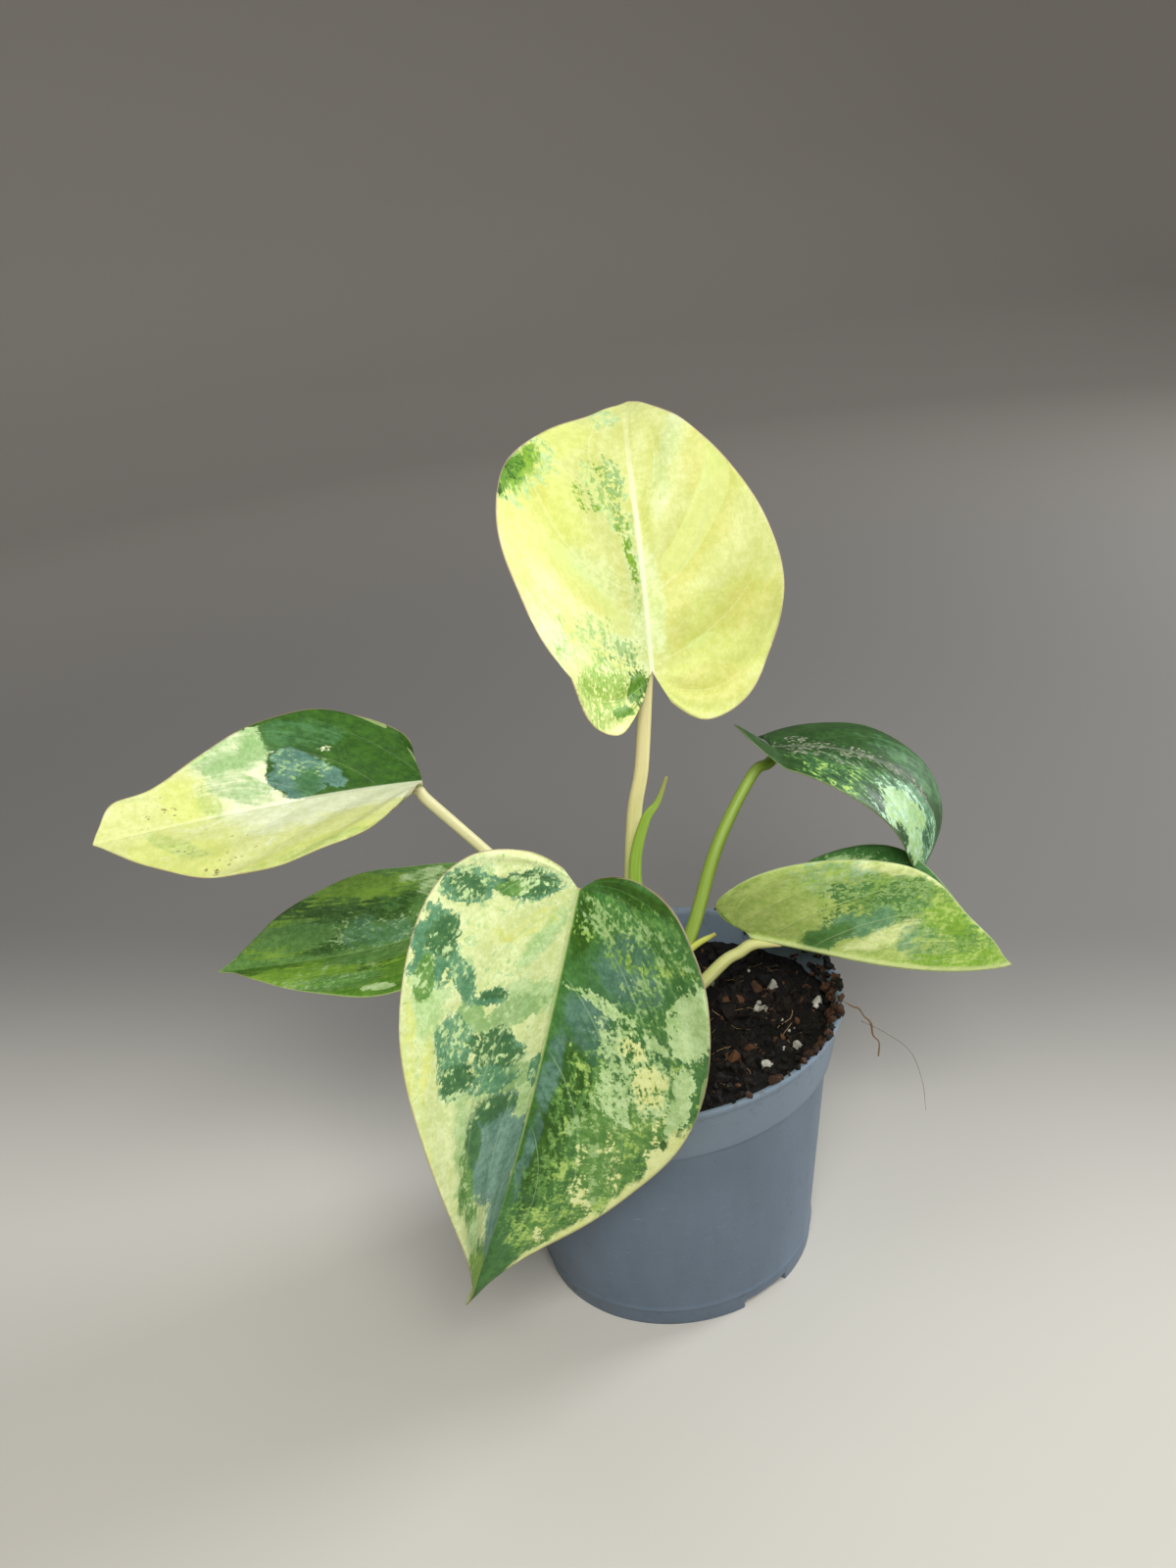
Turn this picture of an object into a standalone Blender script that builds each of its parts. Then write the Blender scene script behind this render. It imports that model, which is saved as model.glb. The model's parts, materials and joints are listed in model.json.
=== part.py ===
"""A variegated heart-leaved philodendron standing in a small nursery pot.

Metres, +Z up. The origin is the middle of the pot's underside, so the pot stands on Z = 0.
Seen from the front, the view runs along +Y and +X is to the right.
Every piece is one closed solid, and pieces that meet keep a gap of GAP between them.
"""

import math
from dataclasses import dataclass

import bmesh
import bpy
from mathutils import Matrix, Vector, noise

GAP = 0.0003

# Pot: a tapered plastic cup with a deeper band at the rim and a notched foot ring
POT_HEIGHT = 0.0662
RIM_RADIUS = 0.0450
BAND_HEIGHT = 0.0126
BAND_FOOT_RADIUS = 0.0415
WALL_TOP_RADIUS = 0.0404
WALL_FOOT_RADIUS = 0.0330
FOOT_RADIUS = 0.0327
SEAM_HEIGHT = 0.0049
POT_WALL = 0.0011
FOOT_DEPTH = 0.0024
FLOOR_TOP = 0.0036
PAD_RADIUS = 0.0080
POT_SIDES = 56
NOTCH_COUNT = 3
NOTCH_WIDTH = 0.0125
NOTCH_TURN = math.radians(-57.0)
DRAIN_COUNT = 6
DRAIN_RADIUS = 0.0030
DRAIN_RING = 0.0200

# Soil: fills the pot, low at the back and up to the rim at the front
SOIL_MIDDLE = 0.0605
SOIL_RISE_FRONT = 0.075
SOIL_RISE_RIGHT = 0.020
SOIL_LUMP = 0.0011
SOIL_LUMP_SIZE = 0.0085
SOIL_RINGS = 9

# Crown: the short buried stem that carries the leaf stalks, with its main roots
CROWN_CENTRE = Vector((0.0000, 0.0010))
CROWN_RADIUS = 0.0090
CROWN_FOOT_RADIUS = 0.0060
CROWN_TOP = 0.0640
CROWN_FOOT = 0.0400
ROOT_COUNT = 6
ROOT_RADIUS = 0.0016
ROOT_TIP_RADIUS = 0.0008
ROOT_REACH = 0.0250
ROOT_TIP_HEIGHTS = (0.0120, 0.0200, 0.0160)

# Leaves
BLADE_THICKNESS = 0.0008
BLADE_ROWS = 20
BLADE_COLUMNS = 5
MIDRIB_STEPS = 48
STALK_SIDES = 8
STALK_RINGS = 12
LOBE_ROWS_SHARE = 0.30
FIRST_ROW_SHARES = (0.10, 0.24)  # start of the rows on a base with a lobe, and on one with hardly any
SHALLOW_LOBE = 0.05
STALK_INSET = 0.0015  # how far ahead of the junction the stalk's end lies under the midrib

# One half of a heart-shaped outline, from the notch round the lobe to the tip. The first value is
# a share of the half width. The second is a share of the length, or of the lobe's depth where it
# is negative, and both grow towards the tip.
HALF_OUTLINE = (
    (0.0, 0.0),
    (0.10, -0.55),
    (0.36, -1.0),
    (0.70, -0.62),
    (0.93, 0.07),
    (1.0, 0.25),
    (0.95, 0.44),
    (0.76, 0.63),
    (0.47, 0.80),
    (0.19, 0.92),
    (0.055, 0.975),
    (0.0, 1.0),
)
SHOULDER_POINTS = {6: 0.4, 7: 0.8, 8: 1.0, 9: 1.0}


@dataclass(frozen=True)
class Leaf:
    """A blade on its stalk. Pairs give the left half, then the right half, seen from above with
    the tip ahead. Angles are in degrees."""

    name: str
    junction: tuple  # where the stalk meets the blade
    pointing: tuple  # way the midrib leaves the junction
    facing: tuple  # way the upper face looks there
    length: float
    half_widths: tuple
    lobes: tuple  # depth behind the junction, as a share of the length; below 0 the base slopes ahead
    shoulders: tuple  # fullness of each half between the middle and the tip
    droops: tuple  # bend of the midrib per blade length, at the junction and at the tip
    twist: float  # turn of the upper face about the midrib over the length
    folds_left: tuple  # rise of the left half from the midrib, at the junction and at the tip
    folds_right: tuple
    cups: tuple  # further upward curl from the midrib to the margin
    stalk: tuple  # points that the stalk passes from the crown to the blade
    stalk_radii: tuple  # at the crown and at the blade
    colour: tuple


LEAVES = (
    Leaf(
        name="front",
        junction=(-0.0108, -0.0487, 0.1234),
        pointing=(-0.33, -0.08, -0.94),
        facing=(-0.09, -0.99, 0.12),
        length=0.107,
        half_widths=(0.032, 0.0312),
        lobes=(0.06, 0.06),
        shoulders=(1.0, 0.76),
        droops=(16.0, 17.0),
        twist=-53.0,
        folds_left=(36.0, 18.0),
        folds_right=(20.0, 43.0),
        cups=(3.5, -12.0),
        stalk=((-0.0022, -0.0046), (-0.004, -0.009, 0.085), (-0.008, -0.024, 0.110)),
        stalk_radii=(0.0018, 0.0015),
        colour=(0.16, 0.30, 0.14),
    ),
    Leaf(
        name="top",
        junction=(0.0106, 0.0052, 0.1446),
        pointing=(0.04, 0.33, 0.94),
        facing=(0.43, -0.86, 0.28),
        length=0.066,
        half_widths=(0.0395, 0.030),
        lobes=(0.19, 0.175),
        shoulders=(0.97, 0.88),
        droops=(-21.0, 137.0),
        twist=-51.0,
        folds_left=(18.0, 17.0),
        folds_right=(15.0, 3.0),
        cups=(33.0, -3.5),
        stalk=(
            (-0.0026, 0.0024),
            (-0.0015, 0.001, 0.085),
            (0.0025, 0.002, 0.112),
            (0.0058, 0.0035, 0.124),
        ),
        stalk_radii=(0.0018, 0.0016),
        colour=(0.72, 0.72, 0.36),
    ),
    Leaf(
        name="upper_left",
        junction=(-0.0414, 0.0003, 0.1292),
        pointing=(-0.94, -0.29, 0.16),
        facing=(0.17, -0.03, 0.98),
        length=0.068,
        half_widths=(0.027, 0.0287),
        lobes=(-0.2, 0.02),
        shoulders=(1.03, 0.74),
        droops=(16.0, 2.0),
        twist=-27.0,
        folds_left=(17.0, 9.0),
        folds_right=(6.0, 13.0),
        cups=(-1.5, 3.5),
        stalk=((-0.0060, -0.0003), (-0.013, 0.001, 0.083), (-0.0215, 0.0, 0.098), (-0.0308, 0.0, 0.111)),
        stalk_radii=(0.0018, 0.0013),
        colour=(0.55, 0.60, 0.34),
    ),
    Leaf(
        name="lower_left",
        junction=(-0.0379, 0.0088, 0.0919),
        pointing=(-0.88, 0.10, -0.46),
        facing=(-0.46, 0.06, 0.89),
        length=0.064,
        half_widths=(0.0253, 0.0275),
        lobes=(0.10, 0.10),
        shoulders=(0.83, 1.13),
        droops=(-59.0, 9.0),
        twist=-3.0,
        folds_left=(6.0, 20.0),
        folds_right=(1.0, 24.0),
        cups=(-16.0, 8.0),
        stalk=((-0.0038, 0.0066), (-0.011, 0.008, 0.076), (-0.022, 0.009, 0.088)),
        stalk_radii=(0.0018, 0.0013),
        colour=(0.10, 0.22, 0.08),
    ),
    Leaf(
        name="upper_right",
        junction=(0.0385, 0.0280, 0.1136),
        pointing=(1.0, -0.02, -0.03),
        facing=(0.04, 0.11, 0.99),
        length=0.071,
        half_widths=(0.0202, 0.021),
        lobes=(0.10, 0.10),
        shoulders=(1.03, 1.32),
        droops=(60.0, 187.0),
        twist=50.0,
        folds_left=(8.0, 5.0),
        folds_right=(10.0, -7.0),
        cups=(-30.0, -23.0),
        stalk=(
            (0.0043, 0.0042),
            (0.0129, 0.009, 0.0785),
            (0.0216, 0.016, 0.096),
            (0.0321, 0.0235, 0.109),
        ),
        stalk_radii=(0.0018, 0.0014),
        colour=(0.07, 0.17, 0.07),
    ),
    Leaf(
        name="lower_right",
        junction=(0.0256, 0.0030, 0.0786),
        pointing=(0.94, -0.09, -0.32),
        facing=(0.33, 0.22, 0.92),
        length=0.062,
        half_widths=(0.0315, 0.0305),
        lobes=(0.13, 0.13),
        shoulders=(1.0, 1.06),
        droops=(19.0, -63.0),
        twist=-2.0,
        folds_left=(11.0, 85.0),
        folds_right=(47.0, 73.0),
        cups=(8.5, 5.0),
        stalk=((0.0060, -0.0005), (0.0134, 0.001, 0.0689), (0.0192, 0.002, 0.0732)),
        stalk_radii=(0.0018, 0.0015),
        colour=(0.36, 0.48, 0.22),
    ),
)

# The furled new shoot beside the top leaf's stalk, and the stub of an old stalk
SHOOT_ROUTE = (
    (0.0012, -0.0015),
    (0.0008, -0.0030, 0.088),
    (0.0013, -0.0033, 0.1035),
    (0.0047, -0.0033, 0.1139),
    (0.0079, -0.0032, 0.1179),
    (0.0105, -0.0030, 0.1233),
)
SHOOT_RADII = (0.0016, 0.0004)
STUB_ROUTE = (
    (0.0022, 0.0018),
    (0.0085, 0.0032, 0.0735),
    (0.0128, 0.0046, 0.0767),
    (0.0180, 0.0055, 0.0785),
)
STUB_RADII = (0.0010, 0.0006)


def clear_scene():
    for thing in list(bpy.data.objects):
        bpy.data.objects.remove(thing, do_unlink=True)


def make_material(name, colour, roughness):
    """A plain Principled material in the piece's main colour."""
    material = bpy.data.materials.new(name)
    material.use_nodes = True
    shader = material.node_tree.nodes["Principled BSDF"]
    shader.inputs["Base Color"].default_value = (*colour, 1.0)
    shader.inputs["Roughness"].default_value = roughness
    shader.inputs["Metallic"].default_value = 0.0
    return material


def add_object(name, mesh, material=None):
    thing = bpy.data.objects.new(name, mesh)
    bpy.context.collection.objects.link(thing)
    if material:
        mesh.materials.append(material)
        mesh.shade_smooth()
        mesh.set_sharp_from_angle(angle=math.radians(40.0))
    return thing


def mesh_from(name, points, faces):
    mesh = bpy.data.meshes.new(name)
    mesh.from_pydata([tuple(point) for point in points], [], faces)
    mesh.update()
    return mesh


def hide_guide(thing):
    """Mark a cutter, which shapes another object and isn't part of the plant."""
    thing.hide_render = True
    thing.display_type = "WIRE"


def add_boolean(thing, operation, others):
    """Cut or join with every object of a hidden collection."""
    collection = bpy.data.collections.new(f"{thing.name}_{operation.lower()}")
    for other in others:
        bpy.context.collection.objects.unlink(other)
        collection.objects.link(other)
        hide_guide(other)
    bpy.context.scene.collection.children.link(collection)
    modifier = thing.modifiers.new(operation.title(), "BOOLEAN")
    modifier.operation = operation
    modifier.solver = "EXACT"
    modifier.operand_type = "COLLECTION"
    modifier.collection = collection


def smooth_curve(points, count):
    """Points at even steps along a Catmull-Rom curve through the given points."""
    points = [Vector(point) for point in points]
    ends = [2 * points[0] - points[1]] + points + [2 * points[-1] - points[-2]]
    spans = len(points) - 1
    result = []
    for step in range(count):
        place = spans * step / (count - 1)
        span = min(int(place), spans - 1)
        t = place - span
        a, b, c, d = ends[span : span + 4]
        result.append(
            0.5 * (2 * b + (c - a) * t + (2 * a - 5 * b + 4 * c - d) * t**2 + (3 * b - a - 3 * c + d) * t**3)
        )
    return result


def make_tube(name, route, radii, material, sides=STALK_SIDES, rings=STALK_RINGS):
    """A tapered round stalk through the route's points, closed at both ends."""
    line = smooth_curve(route, rings)
    points = []
    side = Vector((0.0, -1.0, 0.0))
    for ring, centre in enumerate(line):
        before = line[max(ring - 1, 0)]
        after = line[min(ring + 1, rings - 1)]
        along = (after - before).normalized()
        side = (side - along * side.dot(along)).normalized()
        up = along.cross(side)
        radius = radii[0] + (radii[1] - radii[0]) * ring / (rings - 1)
        for corner in range(sides):
            turn = math.tau * corner / sides
            points.append(centre + radius * (side * math.cos(turn) + up * math.sin(turn)))
    faces = [tuple(reversed(range(sides)))]
    for ring in range(rings - 1):
        for corner in range(sides):
            low = ring * sides + corner
            low_next = ring * sides + (corner + 1) % sides
            faces.append((low, low_next, low_next + sides, low + sides))
    faces.append(tuple(range((rings - 1) * sides, rings * sides)))
    return add_object(name, mesh_from(name, points, faces), material)


def wall_inner_radius(height):
    """Radius of the pot's inner face at a height."""
    band_foot = POT_HEIGHT - BAND_HEIGHT
    if height >= band_foot:
        share = (height - band_foot) / BAND_HEIGHT
        return BAND_FOOT_RADIUS + (RIM_RADIUS - 0.0010 - BAND_FOOT_RADIUS) * share - POT_WALL
    share = (height - FLOOR_TOP) / (band_foot - 0.0012 - FLOOR_TOP)
    return WALL_FOOT_RADIUS + (WALL_TOP_RADIUS - WALL_FOOT_RADIUS) * min(share, 1.0) - POT_WALL


def make_pot():
    """Turned cup, then the drain holes and the notches of the foot ring cut out of it."""
    band_foot = POT_HEIGHT - BAND_HEIGHT
    profile = (
        (0.0, FLOOR_TOP),
        (wall_inner_radius(FLOOR_TOP), FLOOR_TOP),
        (wall_inner_radius(band_foot - 0.0012), band_foot - 0.0012),
        (wall_inner_radius(band_foot), band_foot),
        (wall_inner_radius(POT_HEIGHT - 0.0012), POT_HEIGHT - 0.0012),
        (RIM_RADIUS - 0.0012, POT_HEIGHT),
        (RIM_RADIUS, POT_HEIGHT - 0.0002),
        (RIM_RADIUS, POT_HEIGHT - 0.0009),
        (RIM_RADIUS - 0.0009, POT_HEIGHT - 0.0016),
        (BAND_FOOT_RADIUS, band_foot),
        (WALL_TOP_RADIUS, band_foot - 0.0006),
        (WALL_FOOT_RADIUS + 0.0002, SEAM_HEIGHT + 0.0006),
        (WALL_FOOT_RADIUS + 0.0005, SEAM_HEIGHT),
        (WALL_FOOT_RADIUS, SEAM_HEIGHT - 0.0006),
        (FOOT_RADIUS, 0.0),
        (FOOT_RADIUS - 0.0014, 0.0),
        (FOOT_RADIUS - 0.0018, FOOT_DEPTH),
        (PAD_RADIUS + 0.0005, FOOT_DEPTH),
        (PAD_RADIUS, 0.0),
        (0.0, 0.0),
    )
    points = [(radius, 0.0, height) for radius, height in profile]
    mesh = bpy.data.meshes.new("pot")
    mesh.from_pydata(points, [(i, i + 1) for i in range(len(points) - 1)], [])
    pot = add_object("pot", mesh, make_material("pot_plastic", (0.17, 0.21, 0.25), 0.45))
    screw = pot.modifiers.new("Turn", "SCREW")
    screw.axis = "Z"
    screw.angle = math.tau
    screw.steps = POT_SIDES
    screw.render_steps = POT_SIDES
    screw.use_merge_vertices = True
    screw.merge_threshold = 0.00001
    screw.use_smooth_shade = True
    cutters = []
    for index in range(NOTCH_COUNT):
        turn = NOTCH_TURN + math.tau * index / NOTCH_COUNT
        size = (0.0060, NOTCH_WIDTH, 2 * FOOT_DEPTH - 0.0006)
        place = Matrix.Rotation(turn, 4, "Z") @ Matrix.Translation((FOOT_RADIUS - 0.0008, 0.0, 0.0))
        cutters.append(make_box(f"notch_{index}", size, place))
    for index in range(DRAIN_COUNT):
        turn = math.tau * (index + 0.5) / DRAIN_COUNT
        place = Matrix.Translation((DRAIN_RING * math.cos(turn), DRAIN_RING * math.sin(turn), 0.003))
        cutters.append(make_cone(f"drain_{index}", DRAIN_RADIUS, DRAIN_RADIUS, 0.004, place, 12))
    add_boolean(pot, "DIFFERENCE", cutters)
    return pot


def make_box(name, size, place):
    shape = bmesh.new()
    bmesh.ops.create_cube(shape, size=1.0, matrix=place @ Matrix.Diagonal((*size, 1.0)))
    mesh = bpy.data.meshes.new(name)
    shape.to_mesh(mesh)
    shape.free()
    return add_object(name, mesh)


def make_cone(name, radius_low, radius_high, depth, place, sides):
    """A closed round solid along its own Z, its middle at the origin of place."""
    shape = bmesh.new()
    bmesh.ops.create_cone(
        shape,
        cap_ends=True,
        segments=sides,
        radius1=radius_low,
        radius2=radius_high,
        depth=depth,
        matrix=place,
    )
    mesh = bpy.data.meshes.new(name)
    shape.to_mesh(mesh)
    shape.free()
    return add_object(name, mesh)


def make_crown_shapes(prefix, extra):
    """The buried stem and its roots as overlapping solids, all grown outwards by extra."""
    depth = CROWN_TOP - CROWN_FOOT + 2 * extra
    middle = Vector((CROWN_CENTRE.x, CROWN_CENTRE.y, (CROWN_TOP + CROWN_FOOT) / 2))
    shapes = [
        make_cone(
            prefix, CROWN_FOOT_RADIUS + extra, CROWN_RADIUS + extra, depth, Matrix.Translation(middle), 16
        )
    ]
    for index in range(ROOT_COUNT):
        turn = math.tau * (index + 0.25) / ROOT_COUNT
        start = Vector((CROWN_CENTRE.x, CROWN_CENTRE.y, CROWN_FOOT + 0.006))
        tip_height = ROOT_TIP_HEIGHTS[index % len(ROOT_TIP_HEIGHTS)]
        tip = Vector((ROOT_REACH * math.cos(turn), ROOT_REACH * math.sin(turn), tip_height))
        along = (tip - start).normalized()
        tip += along * extra
        place = Matrix.Translation((start + tip) / 2) @ along.to_track_quat("Z", "Y").to_matrix().to_4x4()
        shapes.append(
            make_cone(
                f"{prefix}_root_{index}",
                ROOT_RADIUS + extra,
                ROOT_TIP_RADIUS + extra,
                (tip - start).length,
                place,
                6,
            )
        )
    return shapes


def make_crown():
    crown, *roots = make_crown_shapes("crown", 0.0)
    crown.data.materials.append(make_material("crown_bark", (0.20, 0.22, 0.09), 0.7))
    add_boolean(crown, "UNION", roots)
    return crown


def soil_height(x, y):
    """Height of the soil's surface: tilted towards the viewer, with lumps that fade at the crown."""
    tilt = -y * SOIL_RISE_FRONT + x * SOIL_RISE_RIGHT
    spot = Vector((x, y, 0.0)) / SOIL_LUMP_SIZE
    lump = noise.noise(spot) + 0.5 * noise.noise(spot * 2.3 + Vector((7.0, 3.0, 0.0)))
    return SOIL_MIDDLE + tilt + SOIL_LUMP * lump


def make_soil():
    """A plug in the shape of the pot's inside, open only where the crown and roots stand in it."""
    wall_gap = GAP + 0.00005
    bottom = FLOOR_TOP + GAP
    band_foot = POT_HEIGHT - BAND_HEIGHT
    side_heights = (bottom, band_foot - 0.0012, band_foot)
    points = [Vector((0.0, 0.0, bottom))]
    for height in side_heights:
        radius = wall_inner_radius(height) - wall_gap
        for corner in range(POT_SIDES):
            turn = math.tau * corner / POT_SIDES
            points.append(Vector((radius * math.cos(turn), radius * math.sin(turn), height)))
    for ring in range(SOIL_RINGS):
        share = 1.0 - ring / SOIL_RINGS
        for corner in range(POT_SIDES):
            turn = math.tau * corner / POT_SIDES
            edge = soil_height(RIM_RADIUS * math.cos(turn), RIM_RADIUS * math.sin(turn))
            edge = min(edge, POT_HEIGHT - 0.0015)
            radius = (wall_inner_radius(edge) - wall_gap) * share
            x = radius * math.cos(turn)
            y = radius * math.sin(turn)
            points.append(Vector((x, y, min(soil_height(x, y), POT_HEIGHT - 0.0015))))
    points.append(Vector((0.0, 0.0, soil_height(0.0, 0.0))))
    faces = []
    rings = len(side_heights) + SOIL_RINGS
    for corner in range(POT_SIDES):
        after = (corner + 1) % POT_SIDES
        faces.append((0, 1 + after, 1 + corner))
        for ring in range(rings - 1):
            low = 1 + ring * POT_SIDES
            high = low + POT_SIDES
            faces.append((low + corner, low + after, high + after, high + corner))
        last = 1 + (rings - 1) * POT_SIDES
        faces.append((last + corner, last + after, len(points) - 1))
    material = make_material("soil_mix", (0.035, 0.024, 0.018), 0.95)
    soil = add_object("soil", mesh_from("soil", points, faces), material)
    add_boolean(soil, "DIFFERENCE", make_crown_shapes("crown_hole", GAP))
    return soil


def unit_frame(leaf):
    """Midrib's heading, side and facing at the junction, square to each other."""
    along = Vector(leaf.pointing).normalized()
    facing = Vector(leaf.facing)
    facing = (facing - along * facing.dot(along)).normalized()
    return along, along.cross(facing), facing


def midrib_frames(leaf):
    """Place, heading, side and facing at even steps from the junction to the tip."""
    along, side, facing = unit_frame(leaf)
    place = Vector(leaf.junction)
    frames = [(place, along, side, facing)]
    for step in range(MIDRIB_STEPS):
        share = (step + 0.5) / MIDRIB_STEPS
        droop = math.radians(leaf.droops[0] + (leaf.droops[1] - leaf.droops[0]) * share) / MIDRIB_STEPS
        bend = Matrix.Rotation(-droop, 3, side)
        along = (bend @ along).normalized()
        facing = bend @ facing
        facing = Matrix.Rotation(math.radians(leaf.twist) / MIDRIB_STEPS, 3, along) @ facing
        facing = (facing - along * facing.dot(along)).normalized()
        side = along.cross(facing)
        place = place + along * leaf.length / MIDRIB_STEPS
        frames.append((place, along, side, facing))
    return frames


def half_margin(leaf, half, count):
    """Flat outline of one half: distance out from the midrib, and distance along it."""
    points = []
    for index, (out, ahead) in enumerate(HALF_OUTLINE):
        out = min(out * (1.0 + (leaf.shoulders[half] - 1.0) * SHOULDER_POINTS.get(index, 0.0)), 1.0)
        if leaf.lobes[half] < 0.0:
            ahead = max(ahead, 0.0)
            ahead -= leaf.lobes[half] * out * (1.0 - ahead)
        elif ahead < 0.0:
            ahead *= leaf.lobes[half]
        points.append((out * leaf.half_widths[half], ahead * leaf.length, 0.0))
    return smooth_curve(points, count)


def bend_into_place(leaf, frames, half, out, ahead):
    """Carry a flat point of the blade onto its bent, folded and cupped surface."""
    share = ahead / leaf.length
    place_share = min(max(share, 0.0), 1.0) * MIDRIB_STEPS
    step = min(int(place_share), MIDRIB_STEPS - 1)
    blend = place_share - step
    place, along, side, facing = (
        frames[step][part].lerp(frames[step + 1][part], blend) for part in range(4)
    )
    place = place + along * min(ahead, 0.0)
    folds = (leaf.folds_left, leaf.folds_right)[half]
    fold_share = max(share, -0.2)
    fold = math.radians(folds[0] * (1.0 - fold_share) + folds[1] * fold_share)
    cup = math.radians(leaf.cups[half]) / (sum(leaf.half_widths) / 2)
    across = (math.sin(fold + cup * out) - math.sin(fold)) / cup
    rise = (math.cos(fold) - math.cos(fold + cup * out)) / cup
    return place + side * across * (1 if half else -1) + facing * rise


def make_blade(leaf):
    """The upper face as rows from the midrib to the margin, given its thickness below."""
    frames = midrib_frames(leaf)
    fine = 400
    points = []
    faces = []
    places = {}

    def point(key, half, out, ahead):
        if key not in places:
            places[key] = len(points)
            points.append(bend_into_place(leaf, frames, half, out, ahead))
        return places[key]

    for half in (0, 1):
        margin = half_margin(leaf, half, fine + 1)
        first = FIRST_ROW_SHARES[leaf.lobes[half] < SHALLOW_LOBE]
        rows = []
        for row in range(BLADE_ROWS):
            share = first + (1.0 - first) * row / (BLADE_ROWS - 1)
            edge = margin[round(share * fine)]
            rib = leaf.length * max((share - LOBE_ROWS_SHARE) / (1.0 - LOBE_ROWS_SHARE), 0.0) ** 1.15
            line = [point(("rib", round(rib, 6)), half, 0.0, rib)]
            if row == BLADE_ROWS - 1:
                line = line * (BLADE_COLUMNS + 1)
            else:
                for column in range(1, BLADE_COLUMNS + 1):
                    t = column / BLADE_COLUMNS
                    line.append(point((half, row, column), half, edge.x * t, rib * (1.0 - t) + edge.y * t))
            rows.append(line)
        for lower, upper in zip(rows, rows[1:]):
            for column in range(BLADE_COLUMNS):
                corners = (lower[column], lower[column + 1], upper[column + 1], upper[column])
                for face in (corners[:3], (corners[0], corners[2], corners[3])):
                    if len(set(face)) == 3:
                        faces.append(face if half else tuple(reversed(face)))
    name = f"blade_{leaf.name}"
    material = make_material(f"{name}_leaf", leaf.colour, 0.4)
    blade = add_object(name, mesh_from(name, points, faces), material)
    solidify = blade.modifiers.new("Thickness", "SOLIDIFY")
    solidify.thickness = BLADE_THICKNESS
    solidify.offset = -1.0
    return blade


def seated_start(spot, heading, radius):
    """Middle of a stalk's lower end, just clear of the crown's flat top."""
    lean = math.sqrt(max(1.0 - heading.z**2, 0.0))
    return Vector((spot[0], spot[1], CROWN_TOP + GAP + radius * lean))


def make_leaf_stalk(leaf):
    """From the crown's top to just below the blade at its junction."""
    along, side, facing = unit_frame(leaf)
    last = Vector(leaf.stalk[-1])
    junction = Vector(leaf.junction)
    arrival = (junction - last).normalized()
    slant = math.sqrt(max(1.0 - arrival.dot(facing) ** 2, 0.0))
    drop = BLADE_THICKNESS + GAP + leaf.stalk_radii[1] * slant
    end = junction + along * STALK_INSET - facing * drop
    start = seated_start(leaf.stalk[0], heading_from(leaf.stalk), leaf.stalk_radii[0])
    route = (start, *leaf.stalk[1:], end)
    name = f"stalk_{leaf.name}"
    return make_tube(name, route, leaf.stalk_radii, make_material(f"{name}_skin", (0.30, 0.36, 0.12), 0.4))


def heading_from(route):
    start = Vector((route[0][0], route[0][1], CROWN_TOP))
    return (Vector(route[1]) - start).normalized()


def make_sprout(name, route, radii, colour):
    """A stalk with no blade, standing on the crown."""
    start = seated_start(route[0], heading_from(route), radii[0])
    return make_tube(name, (start, *route[1:]), radii, make_material(f"{name}_skin", colour, 0.45))


def main():
    clear_scene()
    plant = bpy.data.objects.new("potted_philodendron", None)
    bpy.context.collection.objects.link(plant)
    pieces = [make_pot(), make_soil(), make_crown()]
    for leaf in LEAVES:
        pieces.append(make_leaf_stalk(leaf))
        pieces.append(make_blade(leaf))
    pieces.append(make_sprout("shoot", SHOOT_ROUTE, SHOOT_RADII, (0.25, 0.42, 0.10)))
    pieces.append(make_sprout("stub", STUB_ROUTE, STUB_RADII, (0.45, 0.50, 0.16)))
    for piece in pieces:
        piece.parent = plant


main()
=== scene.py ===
# %% [markdown]
# # A variegated philodendron in a nursery pot
#
# This notebook dresses a plain model of a small potted plant: six heart-shaped leaves on thin
# stalks, a rolled new shoot, loose potting mix and a blue-grey plastic pot. The plain solids
# are loaded first. Each later step builds one piece finely, gives it a node material, and then
# says which solid it stands for.

import json
import math

import bmesh
import bpy
import numpy as np
from mathutils import Matrix, Vector, noise

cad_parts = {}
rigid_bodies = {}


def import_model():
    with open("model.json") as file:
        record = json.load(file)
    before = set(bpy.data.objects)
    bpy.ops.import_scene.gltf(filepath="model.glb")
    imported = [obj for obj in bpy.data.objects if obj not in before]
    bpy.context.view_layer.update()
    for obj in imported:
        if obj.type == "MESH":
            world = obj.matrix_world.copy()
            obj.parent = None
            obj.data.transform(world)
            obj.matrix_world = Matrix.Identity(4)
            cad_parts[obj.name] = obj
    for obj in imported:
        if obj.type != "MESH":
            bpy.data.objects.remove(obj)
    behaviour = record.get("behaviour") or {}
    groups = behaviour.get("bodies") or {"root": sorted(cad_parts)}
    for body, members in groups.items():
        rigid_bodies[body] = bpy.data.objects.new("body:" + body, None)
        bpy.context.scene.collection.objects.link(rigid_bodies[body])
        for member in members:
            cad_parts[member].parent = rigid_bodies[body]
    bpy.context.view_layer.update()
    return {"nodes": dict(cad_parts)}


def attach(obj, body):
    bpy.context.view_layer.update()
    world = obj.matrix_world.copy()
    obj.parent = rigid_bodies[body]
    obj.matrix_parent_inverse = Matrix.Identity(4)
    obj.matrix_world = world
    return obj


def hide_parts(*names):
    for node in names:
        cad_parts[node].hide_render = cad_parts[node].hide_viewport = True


for thing in list(bpy.data.objects):
    bpy.data.objects.remove(thing, do_unlink=True)
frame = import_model()
MM = 0.001
print("plain solids:", sorted(frame["nodes"]))


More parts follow.
